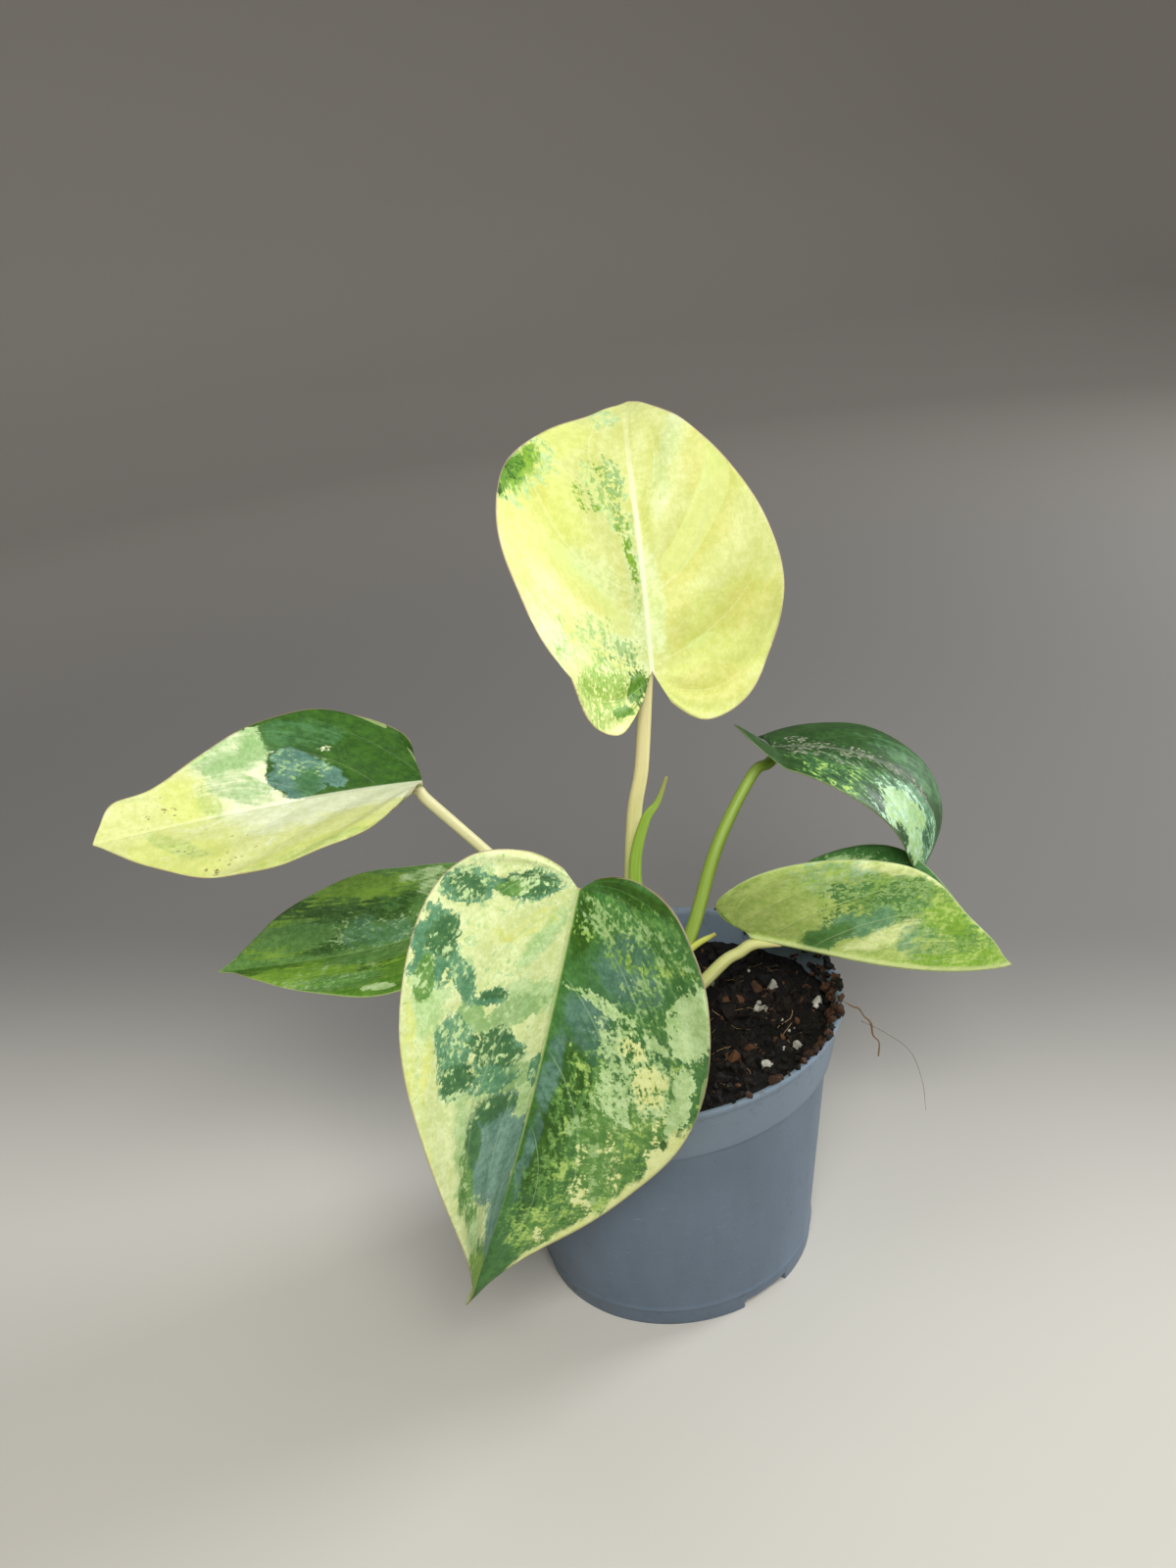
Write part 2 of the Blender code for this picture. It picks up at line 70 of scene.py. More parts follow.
# %% [markdown]
# ## Node maths written as Python
#
# Materials and Geometry Nodes trees are both graphs of small nodes. Wiring them by hand is slow
# to read, so one small class wraps a socket and turns each Python operator into its Math node,
# and one method adds every other node. An expression such as `1 - mask * 0.5` then reads like
# the sum it is.

# %% A socket that does sums, and a graph that adds nodes
class Link:
    """A node's output socket. Python operators used on it add Math nodes."""

    def __init__(self, graph, socket):
        self.graph = graph
        self.socket = socket

    def __add__(self, other):
        return self.graph.math("ADD", self, other)

    def __sub__(self, other):
        return self.graph.math("SUBTRACT", self, other)

    def __rsub__(self, other):
        return self.graph.math("SUBTRACT", other, self)

    def __mul__(self, other):
        return self.graph.math("MULTIPLY", self, other)

    def __truediv__(self, other):
        return self.graph.math("DIVIDE", self, other)

    def __pow__(self, other):
        return self.graph.math("POWER", self, other)

    def __neg__(self):
        return self * -1.0

    def __abs__(self):
        return self.graph.math("ABSOLUTE", self)

    __radd__ = __add__
    __rmul__ = __mul__


class Graph:
    """A node tree with short ways to add the nodes that this notebook uses most."""

    def __init__(self, tree):
        self.tree = tree

    def node(self, kind, settings=None, sockets=None, output=0):
        """Adds a node: its settings are set first, then the values or links of its sockets."""
        made = self.tree.nodes.new(kind)
        for key, value in (settings or {}).items():
            if key == "stops":
                ramp = made.color_ramp.elements
                while len(ramp) < len(value):
                    ramp.new(1.0)
                for element, (place, colour) in zip(ramp, value):
                    element.position = place
                    element.color = colour
            else:
                setattr(made, key, value)
        for key, value in (sockets or {}).items():
            if isinstance(value, Link):
                self.tree.links.new(value.socket, made.inputs[key])
            else:
                made.inputs[key].default_value = value
        return Link(self, made.outputs[output]) if len(made.outputs) else None

    def math(self, operation, *values):
        return self.node("ShaderNodeMath", {"operation": operation}, dict(enumerate(values)))

    def vector(self, operation, *values, output=0):
        return self.node(
            "ShaderNodeVectorMath", {"operation": operation}, dict(enumerate(values)), output
        )

    def scaled(self, vector, factor):
        return self.node("ShaderNodeVectorMath", {"operation": "SCALE"}, {0: vector, "Scale": factor})

    def split(self, vector):
        return [self.node("ShaderNodeSeparateXYZ", None, {0: vector}, axis) for axis in range(3)]

    def join(self, x, y, z):
        return self.node("ShaderNodeCombineXYZ", None, {0: x, 1: y, 2: z})

    def smooth(self, value, low, high):
        """0 below low, 1 above high, and a soft step between them. low may be above high."""
        return self.node(
            "ShaderNodeMapRange",
            {"interpolation_type": "SMOOTHSTEP"},
            {"Value": value, "From Min": low, "From Max": high},
        )

    def noise(self, vector, scale, detail=2.0, roughness=0.5, output=0):
        sockets = {"Vector": vector, "Scale": scale, "Detail": detail, "Roughness": roughness}
        return self.node("ShaderNodeTexNoise", None, sockets, output)

    def mix(self, factor, first, second, blend="MIX"):
        """One colour over another, as a Mix node."""
        settings = {"data_type": "RGBA", "blend_type": blend}
        return self.node("ShaderNodeMix", settings, {0: factor, 6: first, 7: second}, 2)


def colour(code, gain=1.0):
    """A screen colour such as '8090a0' as the linear light that a shader works with."""
    channels = [int(code[i : i + 2], 16) / 255 for i in (0, 2, 4)]
    return (*(gain * (c / 12.92 if c < 0.04045 else ((c + 0.055) / 1.055) ** 2.4) for c in channels), 1.0)


print("helpers ready; mid grey is", round(colour("808080")[0], 3), "as light")


# %% A material ends in one Principled shader
class Finish(Graph):
    """A material under construction."""

    def __init__(self, name):
        self.material = bpy.data.materials.new(name)
        self.material.use_nodes = True
        super().__init__(self.material.node_tree)
        self.tree.nodes.clear()

    def attribute(self, name, output="Vector"):
        return self.node("ShaderNodeAttribute", {"attribute_name": name}, None, output)

    def position(self):
        return self.node("ShaderNodeTexCoord", None, None, "Object")

    def shade(self, base, rough, bump=None, strength=0.5, distance=0.001, **constants):
        """Wires up the surface. Constants are set on the shader's own sockets."""
        sockets = {"Base Color": base, "Roughness": rough}
        if bump is not None:
            height = {"Strength": strength, "Distance": distance, "Height": bump}
            sockets["Normal"] = self.node("ShaderNodeBump", None, height)
        for key, value in constants.items():
            sockets[key.replace("_", " ")] = value
        surface = self.node("ShaderNodeBsdfPrincipled", None, sockets)
        self.node("ShaderNodeOutputMaterial", None, {"Surface": surface})
        return self.material


def add_object(name, mesh, *materials):
    """Puts a mesh in the scene, at the origin, with its materials."""
    made = bpy.data.objects.new(name, mesh)
    bpy.context.scene.collection.objects.link(made)
    for material in materials:
        mesh.materials.append(material)
    return made


def mesh_from(name, points, faces, smooth=True):
    mesh = bpy.data.meshes.new(name)
    mesh.from_pydata([tuple(point) for point in points], [], faces)
    mesh.update()
    if smooth:
        mesh.shade_smooth()
    return mesh


def dress(piece, slot, *nodes):
    """The piece stands for these solids and rides with the plant. The slot name is only printed."""
    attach(piece, "root")
    if nodes:
        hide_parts(*nodes)
    triangles = sum(len(face.vertices) - 2 for face in piece.data.polygons)
    print(f"{piece.name}: {triangles} triangles, slot {slot}")


# %% [markdown]
# ## The camera and the light
#
# The plant was pictured from a little above the pot, about a third of a metre away, with the
# camera rolled by eight degrees. A camera is placed by a matrix whose columns are its right, up
# and backward directions. The light is a large soft box above and in front, a second one from
# the right and behind that lights the pot's flank, and a dim grey world.

# %% Camera
CAMERA_PLACE = Vector((-6.345, -272.34, 240.12)) * MM
CAMERA_PITCH = math.radians(23.26)
CAMERA_ROLL = math.radians(-8.32)
FOCAL_LENGTH = 31.5

ahead = Vector((0.0, math.cos(CAMERA_PITCH), -math.sin(CAMERA_PITCH)))
level_up = Vector((0.0, math.sin(CAMERA_PITCH), math.cos(CAMERA_PITCH)))
level_right = Vector((1.0, 0.0, 0.0))
right = level_right * math.cos(CAMERA_ROLL) + level_up * math.sin(CAMERA_ROLL)
up = level_up * math.cos(CAMERA_ROLL) - level_right * math.sin(CAMERA_ROLL)
camera = bpy.data.objects.new("camera", bpy.data.cameras.new("camera"))
bpy.context.scene.collection.objects.link(camera)
camera.matrix_world = Matrix.Translation(CAMERA_PLACE) @ Matrix((right, up, -ahead)).transposed().to_4x4()
camera.data.lens = FOCAL_LENGTH
camera.data.clip_start = 0.01
bpy.context.scene.camera = camera
print("camera looks down by", round(math.degrees(CAMERA_PITCH), 1), "degrees")


# %% Soft boxes and world
def soft_box(name, place, aim, size, power, tint):
    """A square area light that faces a point."""
    light = bpy.data.lights.new(name, "AREA")
    light.shape = "SQUARE"
    light.size = size
    light.energy = power
    light.color = tint
    box = bpy.data.objects.new(name, light)
    bpy.context.scene.collection.objects.link(box)
    box.location = place
    box.rotation_euler = (Vector(aim) - Vector(place)).to_track_quat("-Z", "Y").to_euler()
    return box


soft_box("key", (0.06, -0.76, 0.82), (0, 0, 0.1), 0.50, 11.4, (1.0, 0.985, 0.955))
soft_box("flank", (0.92, 0.26, 0.36), (0, 0, 0.08), 0.34, 8.6, (0.94, 0.97, 1.0))
soft_box("overhead", (-0.10, 0.25, 1.10), (0, 0, 0.1), 0.70, 2.0, (1.0, 1.0, 1.0))
world = bpy.data.worlds.new("studio")
bpy.context.scene.world = world
world.use_nodes = True
world.node_tree.nodes["Background"].inputs["Color"].default_value = (0.90, 0.94, 1.0, 1.0)
world.node_tree.nodes["Background"].inputs["Strength"].default_value = 0.17
bpy.context.scene.view_settings.view_transform = "Standard"


# %% [markdown]
# ## The floor
#
# A plain round floor that curves up into a low wall, like a sweep of studio paper. It is pale
# under the pot and falls away to a warm grey further out. It isn't part of the plant.

# %% Studio floor
FLOOR_PROFILE = ((0.0, 0.0), (0.6, 0.0), (1.2, 0.0), (1.5, 0.06), (1.7, 0.25), (1.8, 0.6), (1.8, 1.1))


def turned(name, profile, angles, closed_ends=False):
    """Turns (radius, height) points about the Z axis, one column of points for each angle."""
    points = []
    rings = []
    for radius, height in profile:
        if radius < 1e-6:
            rings.append([len(points)] * len(angles))
            points.append((0.0, 0.0, height))
        else:
            rings.append(list(range(len(points), len(points) + len(angles))))
            points.extend((radius * math.cos(a), radius * math.sin(a), height) for a in angles)
    faces = []
    for low, high in zip(rings, rings[1:]):
        for column in range(len(angles)):
            after = (column + 1) % len(angles)
            face = [low[column], low[after], high[after], high[column]]
            face = [corner for i, corner in enumerate(face) if corner not in face[:i]]
            if len(face) > 2:
                faces.append(face)
    return mesh_from(name, points, faces), points


paper = Finish("studio_paper")
place = paper.position()
distance = paper.vector("LENGTH", place, output=1)
sideways, backward, _ = paper.split(place)
# Painted light fall-off: pale in front of and under the pot where the key light pools, warm grey behind it, paler
# again far out
fade = paper.smooth(backward + sideways * 0.30 + paper.noise(place, 5.0, 2.0) * 0.04, -0.01, 0.18)
paper_colour = paper.mix(fade, colour("c2bfb7"), colour("787672"))
paper_colour = paper.mix(paper.smooth(distance, 0.35, 1.2), paper_colour, colour("a9a39b"))
paper.shade(paper_colour, 0.9)
floor_mesh, _ = turned("floor", FLOOR_PROFILE, [math.tau * i / 96 for i in range(96)])
floor = add_object("floor", floor_mesh, paper.material)


# %% [markdown]
# ## Leaf blades
#
# A leaf blade is a thin sheet that is never flat. It is drawn once as a flat heart, half by
# half, and then bent: the midrib droops and twists along its length, and each half folds up
# from it and curls towards its margin. Every point keeps its flat place as an attribute, so
# that the markings can be painted on the flat leaf and follow each bend of it.

# %% The six leaves
HALF_OUTLINE = (
    (0.0, 0.0),
    (0.10, -0.55),
    (0.36, -1.0),
    (0.70, -0.62),
    (0.93, 0.07),
    (1.0, 0.25),
    (0.95, 0.44),
    (0.76, 0.63),
    (0.47, 0.80),
    (0.19, 0.92),
    (0.055, 0.975),
    (0.0, 1.0),
)
SHOULDER_POINTS = {6: 0.4, 7: 0.8, 8: 1.0, 9: 1.0}
TIP_POINTS = (9, 10)
LEAVES = {
    "front": dict(
        junction=(-0.0108, -0.0487, 0.1234), pointing=(-0.33, -0.08, -0.94), facing=(-0.09, -0.99, 0.12),
        length=0.107, widths=(0.032, 0.0312), lobes=(0.06, 0.06), shoulders=(1.0, 0.76), droops=(16, 17),
        twist=-53, folds=((36, 18), (20, 43)), cups=(3.5, -12), tips=(0.75, 0.75), tuck=3.5, lobe_rise=(0, 0),
        stalk=((-0.0022, -0.0046, 0.0641), (-0.004, -0.009, 0.085), (-0.008, -0.024, 0.106), (-0.0103, -0.0395, 0.1150)), thick=(1.8, 1.5),
    ),
    "top": dict(
        junction=(0.0106, 0.0052, 0.1446), pointing=(0.04, 0.33, 0.94), facing=(0.43, -0.86, 0.28),
        length=0.066, widths=(0.0395, 0.030), lobes=(0.19, 0.175), shoulders=(0.97, 0.88), droops=(-21, 137),
        twist=-51, folds=((18, 17), (15, 3)), cups=(33, -3.5), tips=(1.0, 1.0), tuck=1.5, lobe_rise=(0, 0),
        stalk=((-0.0026, 0.0024, 0.0641), (-0.0015, 0.001, 0.085), (0.0025, 0.002, 0.112), (0.0058, 0.0035, 0.124)),
        thick=(1.8, 1.6),
    ),
    "upper_left": dict(
        junction=(-0.0414, 0.0003, 0.1292), pointing=(-0.94, -0.29, 0.16), facing=(0.17, -0.03, 0.98),
        length=0.068, widths=(0.0258, 0.0287), lobes=(-0.2, 0.02), shoulders=(1.03, 0.74), droops=(16, 2),
        twist=-27, folds=((17, 9), (6, 13)), cups=(-1.5, 3.5), tips=(1.1, 2.0), tuck=1.5, lobe_rise=(0, 0),
        stalk=((-0.0060, -0.0003, 0.0641), (-0.013, 0.001, 0.083), (-0.0215, 0.0, 0.098), (-0.0308, 0.0, 0.111)),
        thick=(1.8, 1.3),
    ),
    "lower_left": dict(
        junction=(-0.0379, 0.0088, 0.0919), pointing=(-0.88, 0.10, -0.46), facing=(-0.46, 0.06, 0.89),
        length=0.064, widths=(0.0253, 0.0275), lobes=(0.10, 0.10), shoulders=(0.83, 1.13), droops=(-59, 9),
        twist=-3, folds=((6, 20), (1, 24)), cups=(-16, 8), tips=(0.8, 0.8), tuck=1.5, lobe_rise=(0, 0),
        stalk=((-0.0038, 0.0066, 0.0641), (-0.011, 0.008, 0.076), (-0.022, 0.009, 0.088)), thick=(1.8, 1.3),
    ),
    "upper_right": dict(
        junction=(0.0385, 0.0280, 0.1136), pointing=(1.0, -0.02, -0.03), facing=(0.04, 0.11, 0.99),
        length=0.071, widths=(0.0202, 0.021), lobes=(0.03, 0.17), shoulders=(1.03, 1.32), droops=(60, 187),
        twist=50, folds=((8, 5), (10, -7)), cups=(-30, -23), tips=(0.8, 0.8), tuck=1.5, lobe_rise=(0, 38),
        stalk=((0.0043, 0.0042, 0.0641), (0.0129, 0.009, 0.0785), (0.0216, 0.016, 0.096), (0.0321, 0.0235, 0.109)),
        thick=(1.8, 1.4),
    ),
    "lower_right": dict(
        junction=(0.0256, 0.0030, 0.0786), pointing=(0.94, -0.09, -0.32), facing=(0.33, 0.22, 0.92),
        length=0.062, widths=(0.0315, 0.0305), lobes=(-0.20, 0.17), shoulders=(1.0, 1.06), droops=(19, -63),
        twist=-2, folds=((11, 85), (47, 73)), cups=(8.5, 5.0), tips=(1.0, 1.3), tuck=1.5, lobe_rise=(0, 0),
        stalk=((0.0060, -0.0005, 0.0641), (0.0134, 0.001, 0.0689), (0.0192, 0.002, 0.0732)), thick=(1.8, 1.5),
    ),
}
print("leaves:", ", ".join(LEAVES))


# %% The flat outline and the bent midrib
MIDRIB_STEPS = 48
MARGIN_STEPS = 400


def unit(vector):
    vector = np.asarray(vector, float)
    return vector / np.linalg.norm(vector)


def turned_about(vector, axis, angle):
    """The vector turned about a unit axis."""
    level = axis * np.dot(axis, vector) * (1 - math.cos(angle))
    return vector * math.cos(angle) + np.cross(axis, vector) * math.sin(angle) + level


def through(points, count):
    """Points at even steps along a smooth curve through the given points."""
    points = np.asarray(points, float)
    ends = np.vstack([2 * points[0] - points[1], points, 2 * points[-1] - points[-2]])
    steps = np.linspace(0, len(points) - 1, count)
    span = np.minimum(steps.astype(int), len(points) - 2)
    t = (steps - span)[:, None]
    a, b, c, d = (ends[span + i] for i in range(4))
    return 0.5 * (2 * b + (c - a) * t + (2 * a - 5 * b + 4 * c - d) * t**2 + (3 * b - a - 3 * c + d) * t**3)


def half_margin(leaf, half):
    """The edge of one half of the flat leaf, from the junction round the lobe to the tip."""
    points = []
    lobe = leaf["lobes"][half]
    for index, (out, along) in enumerate(HALF_OUTLINE):
        fuller = 1 + (leaf["shoulders"][half] - 1) * SHOULDER_POINTS.get(index, 0.0)
        out = min(out * fuller, 1.0)
        if index in TIP_POINTS:
            out *= leaf["tips"][half]
        if lobe < 0:
            along = max(along, 0.0)
            along -= lobe * out * (1 - along)
        elif along < 0:
            along *= lobe
        points.append((out * leaf["widths"][half], along * leaf["length"]))
    return through(points, MARGIN_STEPS + 1)


def midrib_frames(leaf):
    """Place, forward, sideways and facing directions at even steps along the midrib."""
    forward = unit(leaf["pointing"])
    facing = np.array(leaf["facing"], float)
    facing = unit(facing - forward * facing.dot(forward))
    sideways = np.cross(forward, facing)
    place = np.array(leaf["junction"], float)
    rows = [(place, forward, sideways, facing)]
    first, last = leaf["droops"]
    for step in range(MIDRIB_STEPS):
        droop = -math.radians(first + (last - first) * (step + 0.5) / MIDRIB_STEPS) / MIDRIB_STEPS
        forward = unit(turned_about(forward, sideways, droop))
        facing = turned_about(facing, sideways, droop)
        facing = turned_about(facing, forward, math.radians(leaf["twist"]) / MIDRIB_STEPS)
        facing = unit(facing - forward * facing.dot(forward))
        sideways = np.cross(forward, facing)
        place = place + forward * leaf["length"] / MIDRIB_STEPS
        rows.append((place, forward, sideways, facing))
    return [np.array([row[i] for row in rows]) for i in range(4)]


def bent(leaf, frames, half, out, along):
    """Where points of the flat half end up on the bent leaf."""
    share = along / leaf["length"]
    steps = np.clip(share, 0, 1) * MIDRIB_STEPS
    index = np.minimum(steps.astype(int), MIDRIB_STEPS - 1)
    part = (steps - index)[:, None]
    place, forward, sideways, facing = (table[index] * (1 - part) + table[index + 1] * part for table in frames)
    rise = math.radians(leaf["lobe_rise"][half])
    behind = np.minimum(along, 0)[:, None]
    place = place + forward * behind * math.cos(rise) - facing * behind * math.sin(rise)
    share = np.maximum(share, -0.2)
    fold = np.radians(leaf["folds"][half][0] * (1 - share) + leaf["folds"][half][1] * share)
    cup = math.radians(leaf["cups"][half]) / (sum(leaf["widths"]) / 2)
    across = (np.sin(fold + cup * out) - np.sin(fold)) / cup
    height = (np.cos(fold) - np.cos(fold + cup * out)) / cup
    side = 1 if half else -1
    return place + sideways * (across * side)[:, None] + facing * height[:, None]


for name, leaf in LEAVES.items():
    frames = midrib_frames(leaf)
    print(f"{name}: tip at {np.round(frames[0][-1] / MM, 1)} mm")


# %% [markdown]
# A real blade has a furrow over its midrib and a keel under it, and the sheet swells gently
# between the side veins, which leave the midrib at an angle and bend towards the tip. That
# relief is only fractions of a millimetre, but it is what catches the light, so it goes into
# the mesh. The blade is closed: an upper face, a lower face and a thin rounded margin.

# %% Relief of a blade
ROWS = 150
FAN_ROWS = 38
COLUMNS = 46
BLADE_THICKNESS = 0.45
EDGE_THICKNESS = 0.20


def soft_step(value, low, high):
    t = np.clip((value - low) / (high - low), 0, 1)
    return t * t * (3 - 2 * t)


def blade_relief(relief, x, y, length, across, order, rim):
    """Heights in mm above the smooth sheet, of the upper face and of the keel below."""
    towards_tip = np.clip(y / length, 0, 1)
    furrow = -relief["furrow"] * np.exp(-((x / 0.45) ** 2)) * (1 - 0.7 * towards_tip)
    between = np.sin(math.pi * order * relief["veins"]) ** 2
    inland = soft_step(np.abs(x), 0.8, 7.0) * soft_step(rim, 0.5, 6.0)
    pillow = relief["pillow"] * (between**0.8 - 0.55) * inland
    angle = order * math.tau
    wavy = np.sin(3.0 * angle + relief["phase"]) + 0.6 * np.sin(7.1 * angle + 2.0 * relief["phase"])
    for x0, y0, x1, y1, width, height in relief.get("creases", ()):
        run = np.array((x1 - x0, y1 - y0))
        span = np.linalg.norm(run)
        run = run / span
        ahead_by = (x - x0) * run[0] + (y - y0) * run[1]
        aside = (x - x0) * run[1] - (y - y0) * run[0]
        fade = soft_step(ahead_by, -3.0, 5.0) * soft_step(ahead_by, span + 6.0, span - 6.0)
        pillow = pillow + height * np.exp(-((aside / width) ** 2)) * fade * soft_step(np.abs(x), 0.5, 3.0)
    margin_wave = relief["wave"] * wavy * soft_step(rim, 7.0, 0.0) * soft_step(np.abs(x), 1.0, 9.0)
    keel = relief["keel"] * np.exp(-((x / 0.85) ** 2)) * (1 - towards_tip) ** 1.3 * soft_step(y, -0.8, 0.6)
    return furrow + pillow + margin_wave, keel


RELIEF = {
    "front": dict(furrow=0.30, veins=9, bow=0.25, pillow=0.35, wave=0.35, keel=0.9, phase=0.4),
    "top": dict(furrow=-0.12, veins=6, bow=0.20, pillow=0.50, wave=0.40, keel=0.9, phase=1.3, creases=(
        (2, 26, 12, 52, 3.6, 1.0), (4, 20, 20, 40, 4.0, -1.1), (2, 10, 22, 24, 4.5, 0.7), (6, 3, 24, 8, 3.5, -0.5),
        (-3, 8, -24, 28, 3.6, -0.9), (-3, 16, -20, 40, 3.6, 0.8), (-4, 28, -14, 50, 4.0, -0.6),
    )),
    "upper_left": dict(furrow=0.30, veins=7, bow=0.22, pillow=0.35, wave=0.40, keel=0.8, phase=2.1),
    "lower_left": dict(furrow=0.35, veins=8, bow=0.25, pillow=0.25, wave=0.30, keel=0.8, phase=3.0),
    "upper_right": dict(furrow=0.45, veins=7, bow=0.25, pillow=0.25, wave=0.20, keel=0.8, phase=4.2),
    "lower_right": dict(furrow=0.30, veins=8, bow=0.25, pillow=0.20, wave=0.20, keel=0.7, phase=5.5),
}
print("deepest furrow:", max(relief["furrow"] for relief in RELIEF.values()), "mm")


# %% Build one blade
def flat_half(leaf, half, bow):
    """Rows of flat points from the midrib to the margin: out, along, share of the way out."""
    first = 0.24 if leaf["lobes"][half] < 0.05 else 0.10
    fan = np.linspace(first, 0.30, FAN_ROWS, endpoint=False)
    shares = np.concatenate([fan, np.linspace(0.30, 1.0, ROWS - FAN_ROWS)])
    edge = half_margin(leaf, half)[np.round(shares * MARGIN_STEPS).astype(int)]
    rib = leaf["length"] * np.maximum((shares - 0.30) / 0.70, 0) ** 1.15
    across = np.linspace(0, 1, COLUMNS + 1) ** 1.35
    out = edge[:, :1] * across
    along = rib[:, None] * (1 - across) + edge[:, 1:] * across
    order = shares[:, None] - bow * across**1.5
    return out, along, np.broadcast_to(across, out.shape), order


def edge_distance(points, edge):
    """Shortest distance from each flat point to the margin."""
    result = np.full(len(points), 1e9)
    for part in np.array_split(np.arange(len(points)), 40):
        gaps = np.linalg.norm(points[part][:, None, :] - edge[None], axis=2)
        result[part] = gaps.min(axis=1)
    return result


def vertex_normals(points, quads):
    normals = np.zeros_like(points)
    a, b, c, d = (points[quads[:, i]] for i in range(4))
    facing = np.cross(c - a, d - b)
    for i in range(4):
        np.add.at(normals, quads[:, i], facing)
    return normals / np.maximum(np.linalg.norm(normals, axis=1), 1e-12)[:, None]


def build_blade(name, finishes):
    """The closed blade. finishes: upper left, upper right, under left and under right halves."""
    leaf = LEAVES[name]
    frames = midrib_frames(leaf)
    places, flats, veins, index = [], [], [], []
    total = 0
    for half in (0, 1):
        out, along, across, order = flat_half(leaf, half, RELIEF[name]["bow"])
        rib_start = index[0][:, 0] if half else None
        grid = np.arange(total, total + out.size).reshape(out.shape)
        edge = half_margin(leaf, half)
        flat = np.stack([out.ravel(), along.ravel()], axis=1)
        rim = edge_distance(flat, edge)
        places.append(bent(leaf, frames, half, out.ravel(), along.ravel()))
        side = 1 if half else -1
        flats.append(np.stack([side * out.ravel(), along.ravel(), 0 * out.ravel()], axis=1) / MM)
        veins.append(np.stack([across.ravel(), order.ravel(), rim / MM], axis=1))
        total += out.size
        at_junction = np.isclose(along[:, 0], 0.0)
        if half:
            grid[:, 0] = rib_start
        grid[at_junction, 0] = index[0][0, 0] if half else grid[0, 0]
        grid[-1, :] = grid[-1, 0]
        index.append(grid)
    places, flats, veins = (np.concatenate(part) for part in (places, flats, veins))
    quads = []
    for half, grid in enumerate(index):
        corners = [grid[:-1, :-1], grid[:-1, 1:], grid[1:, 1:], grid[1:, :-1]]
        if not half:
            corners.reverse()
        quads.append(np.stack([corner.ravel() for corner in corners], axis=1))
    quads = np.concatenate(quads)
    used = np.unique(quads)
    lookup = np.zeros(total, int)
    lookup[used] = np.arange(len(used))
    places, flats, veins, quads = places[used], flats[used], veins[used], lookup[quads]
    normals = vertex_normals(places, quads)
    rise, keel = blade_relief(
        RELIEF[name], flats[:, 0], flats[:, 1], leaf["length"] / MM, veins[:, 0], veins[:, 1], veins[:, 2]
    )
    thickness = EDGE_THICKNESS + (BLADE_THICKNESS - EDGE_THICKNESS) * soft_step(veins[:, 2], 0.0, 1.5)
    top = places + normals * (rise * MM)[:, None]
    bottom = places + normals * ((np.maximum(rise, -0.2) * 0.8 - thickness - keel) * MM)[:, None]
    count = len(top)
    faces = [[v for i, v in enumerate(q) if v not in q[:i]] for q in quads.tolist()]
    faces = [face for face in faces if len(face) > 2]
    once = {}
    for face in faces:
        for start, end in zip(face, face[1:] + face[:1]):
            if (end, start) in once:
                del once[end, start]
            else:
                once[start, end] = True
    walls = [(end, start, start + count, end + count) for start, end in once]
    backs = [[v + count for v in reversed(face)] for face in faces]
    mesh = mesh_from("blade_" + name, np.concatenate([top, bottom]), faces + backs + walls)
    right = [int(sum(flats[v % count, 0] for v in face) > 0) for face in faces + backs + walls]
    below = np.zeros(len(mesh.polygons), int)
    below[len(faces) : len(faces) + len(backs)] = 2
    mesh.polygons.foreach_set("material_index", below + right)
    for label, values in (("flat", flats), ("vein", veins)):
        layer = mesh.attributes.new(label, "FLOAT_VECTOR", "POINT")
        layer.data.foreach_set("vector", np.concatenate([values, values]).astype(np.float32).ravel())
    return add_object("blade_" + name, mesh, *finishes)


# %% [markdown]
# ## Leaf markings
#
# Variegation follows families of cells, so its patches have ragged, slightly blocky edges and
# break up into speckles. Each patch is an ellipse on the flat leaf. Ellipses of one colour run
# together, and their common edge is shifted by noise of several sizes that is read cell by
# cell. Painted in order, from large washes to small blotches, they give each leaf its own
# pattern, the same every time.

# %% Palette and the painter
PALETTE = {
    "shade": ("1f3e16", "325823"),
    "deep": ("284c12", "3e681c"),
    "green": ("39682e", "528445"),
    "olive": ("4c7c1e", "74a03a"),
    "leaf": ("4f7f38", "76a052"),
    "moss": ("38643c", "517e4b"),
    "teal": ("4a7d58", "73a279"),
    # blue: a painted bluish sheen, the gloss of the leaves reflecting light
    "blue": ("456b5a", "678e7a"),
    "mist": ("7fab8a", "b2d2ae"),
    "sage": ("86ab68", "a6c488"),
    "pale": ("9dc078", "c8e0a6"),
    "lime": ("88ae48", "b2cc6e"),
    "leek": ("99a558", "b7c270"),
    "cream": ("c8d68f", "e3edb6"),
    "wax": ("ccd37f", "dde39c"),
    "butter": ("d5dd8c", "e5ecaa"),
    "yellow": ("c9d36e", "d9e088"),
    "fresh": ("6a962a", "8fb640"),
    "dust": ("6d7060", "999a88"),
    # steel: the leaf's grey-green with a painted bluish reflection in it
    "steel": ("5b8676", "89ac9c"),
    "straw": ("c9cb6c", "d9da88"),
    "glow": ("9ab65a", "c0d182"),
    "ivory": ("d6deae", "eaefcb"),
    "bruise": ("7c6c46", "8f7f56"),
}
# Weights of the coarse, fine, fleck, vein and lengthwise noise, and the softness of the edge
STYLES = {
    "patch": (1.5, 1.1, 0.5, 0.5, 0.0, 0.06),
    "fleck": (1.5, 1.4, 1.4, 0.9, 0.3, 0.14),
    "brush": (0.4, 0.6, 0.8, 0.8, 2.2, 0.20),
    "wash": (1.2, 0.8, 0.6, 1.2, 0.0, 0.28),
}


